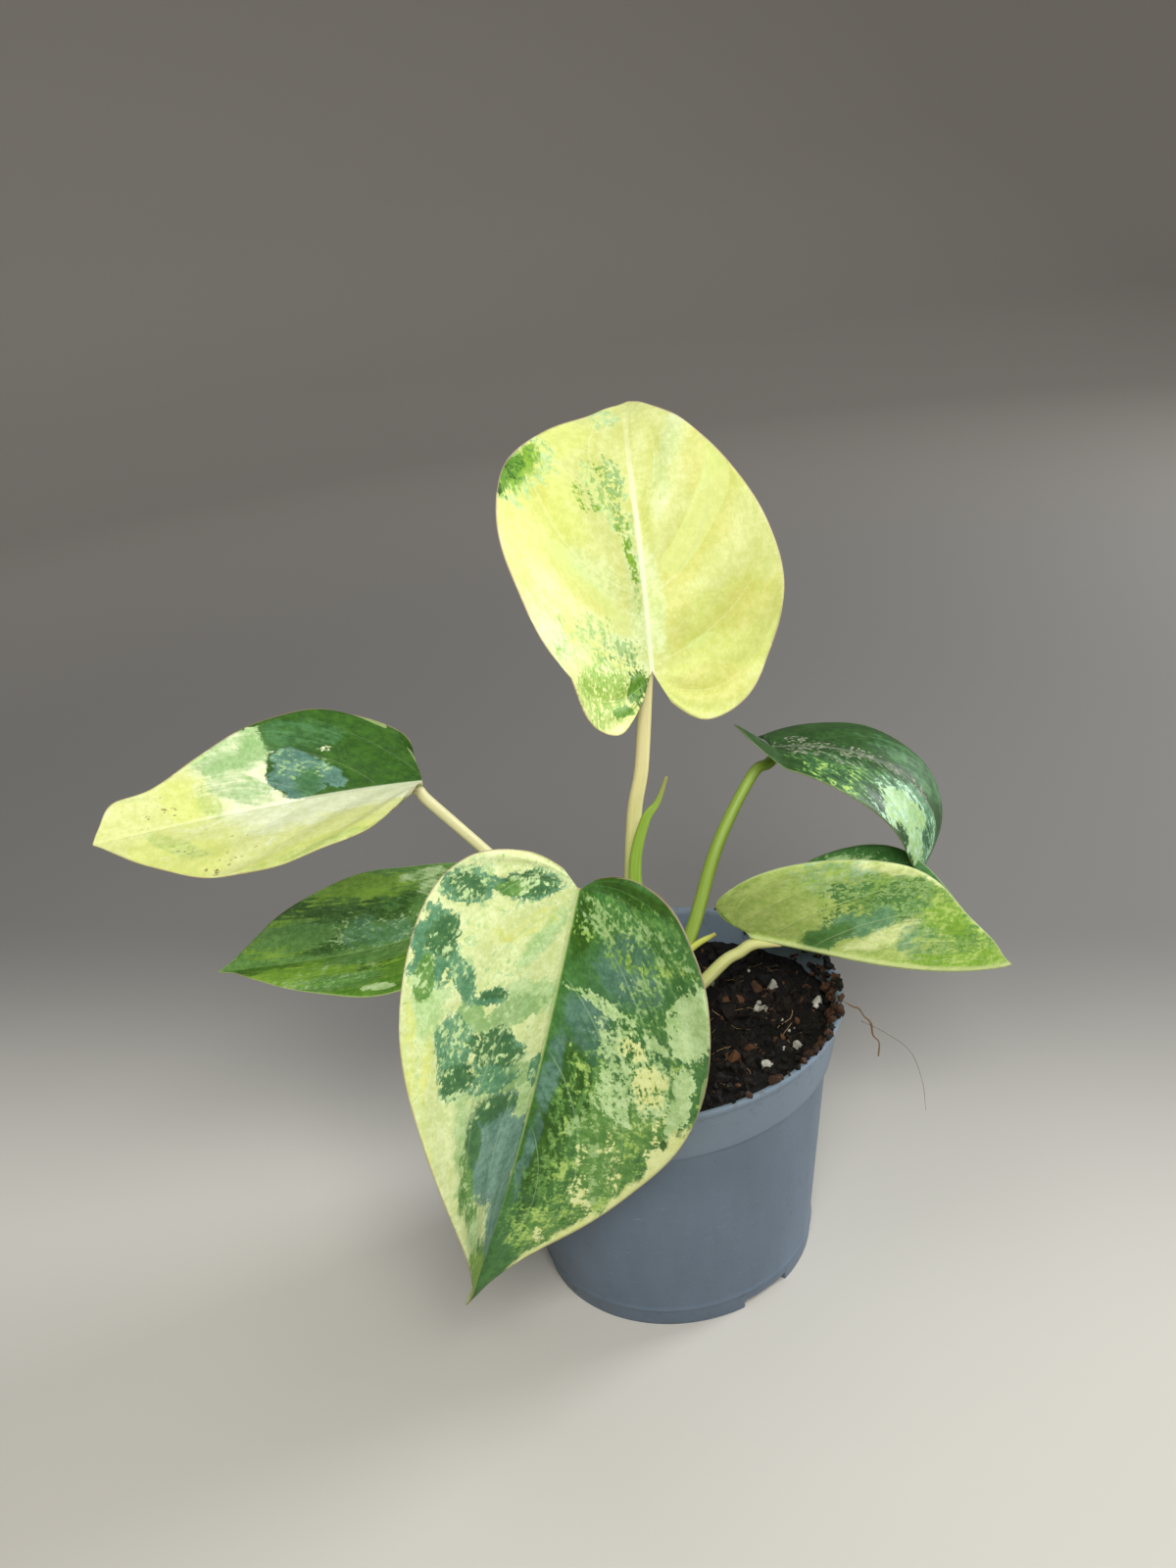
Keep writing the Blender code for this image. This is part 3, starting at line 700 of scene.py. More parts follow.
def ellipse_field(graph, spot, ellipses):
    """1 in the middle of any ellipse, 0 on its edge, less outside."""
    field = None
    for x, y, wide, tall, turn in ellipses:
        settings = {"vector_type": "TEXTURE"}
        sockets = {
            "Vector": spot,
            "Location": (x, y, 0.0),
            "Rotation": (0.0, 0.0, math.radians(turn)),
            "Scale": (wide, tall, 1.0),
        }
        local = graph.node("ShaderNodeMapping", settings, sockets)
        one = 1.0 - graph.vector("LENGTH", local, output=1)
        field = one if field is None else graph.math("MAXIMUM", field, one)
    return field


def leaf_pattern(graph, look, side):
    """The colour of one half of a leaf, side -1 or 1, and the parts that the relief also uses."""
    flat = graph.attribute("flat")
    across, order, rim = graph.split(graph.attribute("vein"))
    x, y, _ = graph.split(flat)
    sway = graph.noise(flat, 0.13, 2.0, output=1)
    swayed = graph.vector("ADD", flat, graph.scaled(graph.vector("SUBTRACT", sway, (0.5, 0.5, 0.5)), 3.0))
    stretched = graph.vector("MULTIPLY", swayed, (1.0, 0.6, 1.0))
    cell = graph.node("ShaderNodeTexVoronoi", None, {"Vector": stretched, "Scale": 3.0}, 2)
    grains = graph.noise(cell, 4.1, 0.0) - 0.5
    cell = graph.vector("MULTIPLY", cell, (0.7, 0.7 / 0.6, 0.7))
    cell = graph.vector("ADD", cell, graph.scaled(swayed, 0.3))
    noises = (
        graph.noise(cell, 0.16, 3.0, 0.6) - 0.5,
        graph.noise(cell, 0.50, 2.0, 0.6) - 0.5,
        graph.noise(cell, 1.30, 1.0, 0.5) - 0.5,
        graph.noise(graph.join(order * 70.0, across * 5.0, 0.0), 1.0, 2.0) - 0.5,
        graph.noise(graph.vector("MULTIPLY", flat, (0.9, 0.10, 1.0)), 1.0, 3.0, 0.6) - 0.5,
    )
    tone = graph.noise(flat, 0.55, 5.0, 0.75) + grains * 0.22 + noises[3] * 0.22 + noises[0] * 0.6
    mottle = graph.smooth(tone, 0.30, 0.72)
    dark, light = PALETTE[look["base"][side > 0]]
    paint = graph.mix(mottle, colour(dark), colour(light))
    for kind, style, jag, cap, on_side, ellipses in look["layers"]:
        ellipses = [e for e in ellipses if e[0] * side > -max(e[2], e[3]) - 1.0]
        if on_side == -side or not ellipses:
            continue
        *weights, softness = STYLES[style]
        edge = graph.math("MINIMUM", ellipse_field(graph, cell, ellipses), cap if style == "fleck" else cap + 0.9)
        for weight, one in zip(weights, noises):
            if weight * jag:
                edge = edge + one * (weight * jag)
        mask = graph.smooth(edge, -softness, softness)
        dark, light = PALETTE[kind]
        paint = graph.mix(mask, paint, graph.mix(mottle, colour(dark), colour(light)))
    return paint, dict(flat=flat, x=x, y=y, across=across, order=order, rim=rim, mottle=mottle)


def vein_lines(graph, parts, veins, width):
    """1 on the side veins, fading towards the margin; and 0 on them to 1 midway between them."""
    near = graph.node("ShaderNodeMath", {"operation": "PINGPONG"}, {0: parts["order"] * veins, 1: 0.5})
    line = graph.smooth(near, width, 0.0)
    line = line * graph.smooth(abs(parts["x"]), 0.4, 3.0) * graph.smooth(parts["across"], 1.0, 0.55)
    return line, near * 2.0


def upper_finish(name, look, side):
    """The waxy upper side of one half."""
    graph = Finish(f"leaf_{name}_upper_{'left' if side < 0 else 'right'}")
    paint, parts = leaf_pattern(graph, look, side)
    lines, between = vein_lines(graph, parts, RELIEF[name]["veins"], 0.028)
    # Painted shade: the hollows between the side veins are darkened towards a dull yellow
    if "hollow" in look:
        hollow = graph.smooth(between, 0.75, 0.0) * graph.smooth(parts["rim"], 1.0, 7.0)
        paint = graph.mix(hollow * look["hollow_show"], paint, colour(look["hollow"]), "MULTIPLY")
    paint = graph.mix(lines * look["vein_show"], paint, colour(look["vein"]))
    length = LEAVES[name]["length"] / MM
    rib = graph.smooth(abs(parts["x"]), look["rib_width"], look["rib_width"] * 0.4)
    rib = rib * graph.smooth(parts["y"], length, length * 0.4)
    paint = graph.mix(rib * look["rib_show"], paint, colour(look["rib"]))
    edge = graph.smooth(parts["rim"], 0.32, 0.05)
    paint = graph.mix(edge * 0.6, paint, colour(look["edge"]))
    dust = graph.noise(parts["flat"], 2.6, 3.0, 0.7)
    rough = 0.40 + dust * 0.22 + edge * 0.1
    skin = graph.noise(parts["flat"], 5.0, 2.0, 0.6)
    height = skin * 0.35 + parts["mottle"] * 0.5 - lines * 0.5
    shine = {"Coat_Weight": 0.06, "Coat_Roughness": 0.25, "Specular_IOR_Level": 0.25}
    return graph.shade(paint, rough, height, 0.25, 0.0002, **shine)


def under_finish(name, look, side):
    """The paler, matt lower side of one half, with its raised veins."""
    graph = Finish(f"leaf_{name}_under_{'left' if side < 0 else 'right'}")
    paint, parts = leaf_pattern(graph, look.get("under", look), side)
    paint = graph.mix(look.get("under_pale", 0.38), paint, colour("b4c48a"))
    paint = graph.mix(1.0, paint, (1.12, 1.12, 1.0, 1.0), "MULTIPLY")
    lines, _ = vein_lines(graph, parts, RELIEF[name]["veins"], 0.04)
    paint = graph.mix(lines * 0.3, paint, colour("c3d29a"))
    rib = graph.smooth(abs(parts["x"]), 1.3, 0.6)
    paint = graph.mix(rib * 0.7, paint, colour("c5cf8e"))
    edge = graph.smooth(parts["rim"], 0.42, 0.08)
    paint = graph.mix(edge * 0.6, paint, colour(look["edge"]))
    skin = graph.noise(parts["flat"], 4.0, 3.0, 0.6)
    return graph.shade(paint, 0.52 + skin * 0.16, skin + lines * 1.2, 0.3, 0.0002, Specular_IOR_Level=0.3)


# %% What is painted on each leaf
# Each layer: colour, style, raggedness, cap (how full flecks may get), side of the midrib (0 for
# both), and ellipses of (x, y, half width, half height, turn) in mm and degrees on the flat leaf.
def both(*ellipses):
    """The same ellipses on both halves."""
    return tuple(e for x, y, wide, tall, turn in ellipses for e in ((x, y, wide, tall, turn), (-x, y, wide, tall, -turn)))


LOOKS = {
    "front": dict(
        base=("green", "cream"),
        vein="a9c89a", vein_show=0.35, rib="9db36a", rib_width=0.30, rib_show=0.55, edge="a98873",
        layers=(
            ("moss", "wash", 0.8, 0.0, -1, ((-9, 30, 7, 14, 0), (-14, 12, 9, 8, 0), (-4, 70, 3, 20, 0), (-23, 26, 5, 5, 0))),
            ("deep", "wash", 0.8, 0.0, -1, ((-5, 56, 5, 26, 0), (-12, -4, 11, 2.5, 0), (-9, 40, 3, 12, 15), (-26, 46, 3, 6, 0), (-10, 84, 3, 10, 20), (-2.5, 6, 2.5, 8, 0))),
            # Painted sheen: this blue wash stands for bluish light reflected by the glossy blade
            ("blue", "wash", 0.6, -0.75, -1, ((-14, 11, 6.5, 8, 25), (-8, 26, 4.5, 7, 30), (-2.5, 40, 1.8, 10, 0), (-2, 60, 1.2, 14, 0))),
            ("leaf", "brush", 0.8, 0.0, -1, ((-17, 58, 7, 26, 8), (-23, 40, 5, 16, 0), (-12, 85, 6, 12, 25))),
            ("leaf", "fleck", 0.8, 0.0, -1, ((-14, 4, 13, 6, 0), (-11, 48, 6, 18, 0), (-22, 20, 8, 10, 0), (-10, 75, 8, 14, 0))),
            ("lime", "fleck", 0.8, -0.14, -1, ((-17, 58, 8, 26, 8), (-24, 42, 6, 16, 0), (-13, 84, 7, 12, 25), (-11, 46, 4, 10, 0), (-12, 6, 12, 3, 0))),
            ("sage", "fleck", 0.9, -0.16, -1, ((-13, 3.5, 12, 3, 0), (-20, 18, 7, 7, 0), (-13, 50, 4, 8, 0), (-16, 62, 3, 8, 0))),
            ("pale", "fleck", 0.9, 0.12, -1, ((-15.5, 38, 3.4, 8, 10), (-15, 28, 6, 4.5, 0), (-10.5, 20.5, 8, 1.3, -13), (-21, 33, 4.5, 9, 10))),
            ("pale", "patch", 0.9, 0.0, -1, ((-28, 16, 5.4, 8.5, 0), (-28, 37, 2.2, 11, 0), (-22, 24, 2.4, 1.6, 0))),
            ("butter", "fleck", 0.9, 0.22, -1, ((-21.5, 34, 3.2, 5.0, 0), (-17, 27, 3.0, 2.2, 0))),
            ("butter", "fleck", 0.8, -0.06, -1, ((-14, 67, 1.7, 4.5, 8), (-12.5, 57, 1.1, 3, 0), (-16.5, 52, 1.1, 3, 0), (-20, 60, 1.0, 6, 10), (-18, 75, 0.9, 5, 20), (-25.5, 48, 1.2, 7, 0), (-11, 86, 0.9, 5, 30))),
            ("butter", "brush", 0.35, 0.0, -1, ((-29, 53, 3.0, 12, -8), (-25, 68, 3.2, 10, -18), (-18.5, 82, 3.2, 10, -28), (-11, 92, 2.4, 7, -38))),
            ("pale", "wash", 0.8, 0.0, 1, ((5, 22, 7, 3.5, 0), (17.5, 53, 2.6, 12, 5), (26, 21, 3, 8, 0), (13.5, 70, 1.8, 9, 18), (5, 10, 2, 8, -30), (12, 38, 10, 4, 0))),
            ("sage", "patch", 0.7, 0.0, 1, ((9.5, 25, 7.5, 3.0, 15), (17.5, 24.5, 3.4, 4, 0), (7, 39, 8, 2.6, 0))),
            ("teal", "patch", 0.8, 0.0, 1, ((20.6, 31.5, 4.6, 8, 0), (11.2, 33, 6, 4.6, 0), (25.6, 12, 5, 7, 0), (19, 18, 2, 6, 30), (14, 21.3, 3.5, 1.8, 0), (12, 38.5, 7, 2.2, 0), (20.6, 1.3, 5.3, 3.6, 0), (9.7, -0.2, 6.5, 3.2, 0), (15, 0, 4, 1.6, 0), (1.2, 39, 1.6, 4.5, 0))),
            ("moss", "patch", 1.0, 0.0, 1, ((12.5, 31, 5, 3.6, 0), (8.5, 34, 3, 2.2, 0), (20, 36, 4, 3, 0), (9.7, -0.4, 5.5, 2.6, 0), (20.6, 1.5, 3.6, 2.4, 0), (24, 10, 3.5, 3.5, 0), (14, 21.0, 3, 1.2, 0))),
            # Partly painted reflection: the steel patch is the leaf's own grey-green with a bluish sheen painted in
            ("steel", "patch", 0.35, 0.0, 1, ((7.0, 57, 8.4, 12, 0), (9.1, 46, 5.6, 6, 0), (3.5, 76, 5, 15, 0), (12.9, 55, 4.2, 8.5, 0))),
            ("moss", "wash", 0.7, -0.5, 1, ((10, 44, 6, 3.5, 0), (15, 50, 2, 6, 0))),
            ("leaf", "brush", 0.8, 0.0, 1, ((16.5, 60, 2.4, 9, 10), (8.5, 82, 2.6, 7, 25))),
            ("pale", "patch", 0.6, 0.0, 1, ((2.6, 45, 2.3, 4.2, 0),)),
            ("leaf", "patch", 0.4, 0.0, 1, ((27, 17, 1.8, 4.5, -5), (12.5, 0.6, 3.2, 1.6, 0))),
            ("fresh", "patch", 0.4, 0.0, 1, ((7.5, 91, 5, 16, 24),)),
            ("pale", "fleck", 0.9, -0.20, 1, ((18, 26, 11, 15, 0), (12, 39, 10, 4, 0), (14, 0, 12, 4, 0), (14, 70, 4, 12, 15))),
            ("yellow", "wash", 0.8, -0.94, 1, ((10, 8, 7, 2, 25), (26, 38, 1.6, 11, 0), (29.5, 34, 1.0, 12, 0))),
        ),
    ),
    "top": dict(
        base=("wax", "wax"),
        vein="f0f4cc", vein_show=0.22, rib="e9efd0", rib_width=0.80, rib_show=0.8, edge="c39a96",
        # The hollow colour is painted shade, laid in the hollows between the side veins
        hollow="e8e6a0", hollow_show=0.35,
        layers=(
            # Partly painted shade: on the right half the straw wash, and the yellow wash at (22, 42), lie in the
            # hollows of the folds
            ("yellow", "wash", 0.6, -0.75, 0, ((-24, 34, 12, 12, 0), (-17, 20, 3, 10, 45), (20, 8, 14, 10, 0), (-16, 50, 10, 4, 40), (22, 42, 6, 8, 30), (12, -4, 10, 6, 0))),
            ("straw", "wash", 0.6, -0.80, 0, ((12, 27, 4.5, 15, -38), (6, 14, 3, 9, 0), (-18, 19, 2.6, 10, 50), (-27, 36, 7, 5, 30), (14, 44, 2, 8, -15), (22, 12, 8, 4, 20), (14, -4, 9, 4, 0))),
            ("cream", "wash", 0.6, -0.4, 0, ((-12, 22, 8, 3, -40), (-32, 10, 6, 9, 0), (-2.2, 15, 2.4, 20, 0), (8, 44, 2.4, 14, -20), (-6, 6, 8, 2, -10), (2, 14, 2, 12, 0))),
            ("pale", "fleck", 0.8, 0.0, -1, ((-20, 6, 12, 4, 0), (-4, 35, 2.4, 9, 5), (-25, 42, 10, 5, 45), (-1.8, 24, 1.2, 12, 0), (-7, 41, 4, 6, 0), (-5, 58, 3, 3, 0))),
            ("lime", "brush", 0.8, -0.05, -1, ((-18, -3, 13, 7, 0), (-26, 42, 8, 3.5, 45))),
            ("fresh", "fleck", 0.8, 0.02, -1, ((-20, -3, 12, 5, 0), (-3.2, 30, 1.2, 12, 6), (-5.5, 40, 2.4, 6, 12))),
            ("fresh", "brush", 0.8, -0.05, -1, ((-26.5, 42.5, 8, 3.2, 45),)),
            ("lime", "fleck", 0.8, -0.16, -1, ((-17, 10.5, 9, 2, -10), (-20, 5, 12, 3, 0))),
            ("fresh", "fleck", 0.8, -0.14, -1, ((-6, 42, 3, 5, 10), (-11, 38, 2.4, 4, 0), (-20, -3, 10, 5, 0))),
            ("sage", "fleck", 0.8, -0.10, -1, ((-4.5, 39, 2.0, 7, 8), (-12, 4, 8, 3, 0))),
            ("leaf", "fleck", 0.8, -0.20, -1, ((-13, -2, 10, 5, 0), (-27, 42, 7, 3, 45))),
            ("butter", "fleck", 0.8, -0.14, -1, ((-19, -3, 12, 5, 0), (-24, 2, 6, 5, 0))),
            ("olive", "patch", 0.8, 0.0, -1, ((-28, 41.5, 7, 2.4, 45), (-5.5, -3.0, 4.5, 2.8, 35), (-11, -7.8, 6, 1.2, 10))),
            ("deep", "fleck", 0.8, -0.14, -1, ((-5.5, -3.4, 4, 3, 35), (-29, 40.5, 6, 2, 45))),
        ),
    ),
    "upper_left": dict(
        base=("ivory", "ivory"),
        vein="eff2cc", vein_show=0.06, rib="f0f2d2", rib_width=0.7, rib_show=0.5, edge="b9a67c",
        layers=(
            ("wax", "wash", 0.6, -0.4, 0, ((-20, 24, 9, 26, 0), (-4, 60, 16, 14, 0), (-13, 46, 11, 10, 0), (5, 50, 11, 8, 20))),
            ("yellow", "wash", 0.6, -0.72, 0, ((-24, 24, 4, 22, 0), (-9, 56, 7, 5, 30), (-13, 48, 6, 6, 0), (5, 49, 6, 4, 20))),
            ("glow", "wash", 0.5, -0.90, 0, ((-7, 52, 8, 2, 40), (-25, 24, 2.4, 18, 0), (4, 44, 5, 2, 10))),
            ("sage", "wash", 0.5, -0.86, 1, ((6, 37, 3.5, 7, -35), (16, 38, 6, 8, 20), (20, 33, 4, 5, 0))),
            ("sage", "wash", 0.35, -0.6, 1, ((13.5, 37.5, 2.2, 6.5, 15), (17.5, 33, 4.6, 3.2, 0))),
            ("deep", "patch", 0.12, 0.0, 1, ((15, 7, 24, 19, 0), (22, 20, 11, 12, 0), (6, 18, 8, 11, 0), (9, 26, 8, 6, 0), (24, 33, 1.6, 8, 15))),
            ("moss", "wash", 0.6, -0.9, 1, ((20, 22, 5, 8, 0),)),
            # Painted sheen: the blue patch stands for a bluish gloss on the dark green; the sage flecks below are
            # the leaf's own
            ("blue", "patch", 0.45, 0.0, 1, ((7.5, 25, 6.5, 6.5, 20), (6, 18.5, 4.5, 3, 30), (3, 26, 3, 2.5, 0), (13, 25, 3, 5, 0))),
            ("moss", "wash", 0.7, 0.0, 1, ((5, 23.5, 4.5, 2.6, -15),)),
            ("sage", "fleck", 0.5, -0.12, 1, ((11, 26, 4, 4, 0), (9, 20.5, 3, 2.4, 0))),
            ("bruise", "fleck", 0.9, -0.42, 0, ((-9, 50, 5, 2.5, -30), (-13, 44, 4, 5, 0), (4, 55, 3, 3, 0))),
        ),
    ),
    "lower_left": dict(
        base=("olive", "leaf"),
        vein="8fb05a", vein_show=0.16, rib="8fa960", rib_width=0.40, rib_show=0.4, edge="b9c08e",
        layers=(
            ("deep", "wash", 0.9, -0.76, 0, ((14, 38, 6, 18, 0), (-10, 26, 9, 8, 0), (14, 20, 6, 6, 0), (4, 36, 3, 10, 0), (-4, 52, 3, 9, 0))),
            ("teal", "wash", 0.8, -0.80, 0, ((4, 21, 5, 6, 0), (9, 50, 2, 9, 10), (7, 30, 5, 4, 0))),
            ("fresh", "brush", 0.9, -0.4, 0, ((-12, 40, 9, 20, 0), (8, 50, 6, 10, 0), (22, 30, 5, 14, 0))),
            ("leaf", "brush", 0.8, -0.5, 0, ((8, 46, 4, 12, 0), (-4, 24, 5, 12, 0), (-16, 30, 4, 10, 0), (12, 12, 6, 5, 0))),
            ("sage", "fleck", 0.8, -0.20, 0, ((4, 22, 6, 6, 0), (7, 32, 5, 5, 0), (-12, 34, 5, 10, 0))),
            ("pale", "wash", 0.8, -0.75, 0, ((16, 10, 6, 4, 30), (24, 14, 2, 6, 0))),
            ("pale", "patch", 0.8, 0.0, 0, ((-21.5, 19, 1.4, 4.5, -8), (-12, -3, 10, 2, 0))),
        ),
    ),
    "upper_right": dict(
        base=("shade", "shade"),
        vein="6f8f5f", vein_show=0.16, rib="7f8474", rib_width=0.8, rib_show=0.45, edge="93a865",
        layers=(
            ("moss", "wash", 0.8, -0.85, 0, ((12, 14, 8, 9, 0), (-8, 40, 6, 14, 0), (8, 24, 4, 8, 0))),
            ("leaf", "fleck", 0.9, -0.14, 1, ((12, 13, 8, 9, 0), (4, 22, 4, 10, 0))),
            ("lime", "fleck", 0.9, -0.30, 1, ((14, 12, 5, 6, 0), (18, 18, 3, 6, 0))),
            ("teal", "wash", 0.7, -0.84, 1, ((9, 42, 9, 15, 0),)),
            ("sage", "patch", 0.9, -0.1, 1, ((13, 33, 6, 8, 10), (16, 42, 4, 8, 0), (9, 40, 3, 5, 0))),
            ("mist", "fleck", 0.9, -0.14, 1, ((12, 36, 7, 10, 0), (17, 25, 3, 4, 0), (8, 50, 5, 5, 0))),
            # Partly dust, partly a painted greyish sheen along the midrib
            ("dust", "fleck", 0.9, -0.14, 0, ((0, 22, 1.8, 20, 0), (1, 8, 5, 6, 0), (4, 12, 4, 8, 0))),
        ),
    ),
    "lower_right": dict(
        base=("green", "green"),
        vein="8fb06a", vein_show=0.25, rib="a9bd70", rib_width=0.5, rib_show=0.6, edge="b2b98a",
        layers=(
            ("moss", "patch", 0.9, 0.0, 0, both((8, 24, 8, 6, 30), (20, 34, 6, 10, 0))),
            ("sage", "fleck", 0.9, 0.0, 0, both((22, 20, 7, 12, 0), (6, 4, 12, 8, 0))),
            ("fresh", "patch", 0.9, 0.0, 0, both((6, 50, 10, 10, 0))),
        ),
        under_pale=0.05,
        under=dict(
            # The glow base is the underside's own pale yellow-green, brightened as painted light shining through the
            # thin leaf
            base=("glow", "glow"),
            layers=(
                ("leaf", "wash", 0.9, -0.3, 0, both((19, 31, 10, 17, 10), (10, 52, 10, 8, 0))),
                ("mist", "fleck", 0.8, 0.10, 0, both((24, 14, 6, 10, 0), (21, 30, 8, 8, 0), (14, 37, 7, 5, 0), (12, 30, 6, 4, 0))),
                ("fresh", "fleck", 0.8, 0.02, 0, both((22, 32, 8, 14, 0), (12, 48, 9, 12, 30), (20, 20, 6, 6, 0))),
                ("lime", "fleck", 0.8, -0.04, 0, both((20, 34, 8, 12, 0), (10, 52, 9, 9, 0), (23, 10, 5, 6, 0))),
                ("green", "fleck", 0.8, -0.05, 0, both((17, 18, 7, 6, 0), (20, 32, 6, 10, 0), (8, 50, 7, 9, 0))),
                ("teal", "fleck", 0.6, 0.30, 0, both((11, 22, 6, 5, 45), (14, 27, 3, 3, 0), (5, 17, 4, 3, 0))),
                ("green", "wash", 0.5, -0.3, 0, both((4, 15.5, 5, 3.6, 35), (8, 19, 4, 2.6, 45))),
                ("cream", "wash", 0.6, -0.5, 0, both((8.5, 30, 2.6, 8.5, -42), (4.5, 25, 1.6, 4, -25))),
                ("teal", "wash", 0.5, -0.93, 0, both((6.5, 41.5, 5, 5, 0), (9, 35, 4, 2, 0))),
                ("fresh", "brush", 0.8, -0.35, 0, both((2.4, 50, 3, 12, 0), (14, 44, 4, 8, 30))),
                ("cream", "wash", 0.5, -0.7, 0, both((29, 30, 1.8, 14, 0), (24, 41, 1.4, 8, 30))),
                ("leaf", "fleck", 0.8, -0.12, 0, both((8, 52, 9, 10, 0), (15, 44, 7, 7, 0))),
                ("lime", "fleck", 0.8, -0.12, 0, both((9, 52, 9, 9, 0), (19, 40, 5, 6, 30))),
            ),
        ),
    ),
}
for name in LEAVES:
    look = LOOKS[name]
    finishes = [finish(name, look, side) for finish in (upper_finish, under_finish) for side in (-1, 1)]
    blade = build_blade(name, finishes)
    dress(blade, "leaf_" + name, "blade_" + name)


# %% [markdown]
# ## Stalks, the new shoot and the old stub
#
# A leaf stalk is a slim, slightly furrowed rod that swells where it joins the crown and again
# under the blade, and runs on into the midrib. Its route is a list of points. A Geometry Nodes
# tree turns a route into a rod: it sweeps a furrowed circle along the route, scaled by a
# thickness that each route point carries, and keeps how far along and around each point is, so
# that the material can run its stripes lengthwise.

# %% A Geometry Nodes tree for rods
def group_with(name, inputs):
    """An empty Geometry Nodes tree with named inputs, and the links of those inputs."""
    tree = bpy.data.node_groups.new(name, "GeometryNodeTree")
    tree.interface.new_socket("Geometry", in_out="OUTPUT", socket_type="NodeSocketGeometry")
    tree.interface.new_socket("Geometry", in_out="INPUT", socket_type="NodeSocketGeometry")
    for label, kind in inputs:
        tree.interface.new_socket(label, in_out="INPUT", socket_type="NodeSocket" + kind)
    graph = Graph(tree)
    source = tree.nodes.new("NodeGroupInput")
    links = {socket.name: Link(graph, socket) for socket in source.outputs if socket.name}
    return graph, links


def finish_group(graph, geometry, material):
    """Ends a tree in Realize Instances and Set Material."""
    real = graph.node("GeometryNodeRealizeInstances", None, {0: geometry})
    done = graph.node("GeometryNodeSetMaterial", None, {0: real, "Material": material})
    graph.node("NodeGroupOutput", None, {0: done})
    return graph.tree


def rod_tree():
    graph, given = group_with(
        "rod_along_a_route",
        (("Sides", "Int"), ("Furrow", "Float"), ("Ridges", "Float"), ("Material", "Material")),
    )
    along = graph.node("GeometryNodeSplineParameter")
    route = graph.node("GeometryNodeMeshToCurve", None, {0: given["Geometry"]})
    named = {"data_type": "FLOAT_VECTOR"}
    way = graph.node("GeometryNodeInputNamedAttribute", named, {"Name": "furrow_way"})
    route = graph.node("GeometryNodeSetCurveNormal", {"mode": "FREE"}, {0: route, "Normal": way})
    keep = {"data_type": "FLOAT", "domain": "POINT"}
    route = graph.node("GeometryNodeStoreNamedAttribute", keep, {0: route, "Name": "along", "Value": along})
    circle = graph.node("GeometryNodeCurvePrimitiveCircle", None, {"Resolution": given["Sides"], "Radius": 1.0})
    circle = graph.node("GeometryNodeStoreNamedAttribute", keep, {0: circle, "Name": "around", "Value": along})
    off_top = abs(graph.math("PINGPONG", along, 0.5)) * 9.0
    dent = graph.math("EXPONENT", -(off_top * off_top)) * given["Furrow"]
    place = graph.node("GeometryNodeInputPosition")
    circle = graph.node(
        "GeometryNodeSetPosition", None, {0: circle, "Position": graph.scaled(place, 1.0 - dent)}
    )
    thickness = graph.node("GeometryNodeInputNamedAttribute", {"data_type": "FLOAT"}, {"Name": "thickness"})
    sockets = {0: route, 1: circle, "Scale": thickness, "Fill Caps": True}
    rod = graph.node("GeometryNodeCurveToMesh", None, sockets)
    rod = graph.node("GeometryNodeSetShadeSmooth", None, {0: rod})
    bumps = graph.noise(place, 420.0, 3.0, 0.6) - 0.5
    normal = graph.node("GeometryNodeInputNormal")
    lift = graph.scaled(normal, bumps * given["Ridges"])
    rod = graph.node("GeometryNodeSetPosition", None, {0: rod, "Offset": lift})
    return finish_group(graph, rod, given["Material"])


ROD_TREE = rod_tree()
print("rod tree has", len(ROD_TREE.nodes), "nodes")


# %% Run a tree and keep its result
def run_tree(name, source, tree, values):
    """Evaluates a Geometry Nodes tree on an object and returns the result as a plain mesh object."""
    modifier = source.modifiers.new("Nodes", "NODES")
    modifier.node_group = tree
    for item in tree.interface.items_tree:
        if item.in_out == "INPUT" and item.name in values:
            modifier[item.identifier] = values[item.name]
    evaluated = source.evaluated_get(bpy.context.evaluated_depsgraph_get())
    mesh = bpy.data.meshes.new_from_object(evaluated)
    mesh.name = name
    source.modifiers.clear()
    bpy.data.objects.remove(source, do_unlink=True)
    return add_object(name, mesh)


def rod(name, route, radii, material, sides=18, furrow=0.0, ridges=0.00004, furrow_way=(0, -1, 0)):
    """A rod along a smooth route. radii are in mm at even shares of the route."""
    count = 16 * len(route)
    line = through(route, count)
    mesh = bpy.data.meshes.new(name)
    mesh.from_pydata(line.tolist(), [(i, i + 1) for i in range(count - 1)], [])
    thick = np.interp(np.linspace(0, 1, count), np.linspace(0, 1, len(radii)), radii) * MM
    kernel = np.ones(7) / 7
    thick = np.convolve(np.pad(thick, 3, mode="edge"), kernel, mode="valid")
    mesh.attributes.new("thickness", "FLOAT", "POINT").data.foreach_set("value", thick.astype(np.float32))
    ways = []
    way = np.array(furrow_way, float)
    for index in range(count):
        step = unit(line[min(index + 1, count - 1)] - line[max(index - 1, 0)])
        way = unit(way - step * way.dot(step))
        ways.append(way)
    layer = mesh.attributes.new("furrow_way", "FLOAT_VECTOR", "POINT")
    layer.data.foreach_set("vector", np.array(ways, np.float32).ravel())
    values = {"Sides": sides, "Furrow": furrow, "Ridges": ridges, "Material": material}
    return run_tree(name, add_object(name, mesh), ROD_TREE, values)


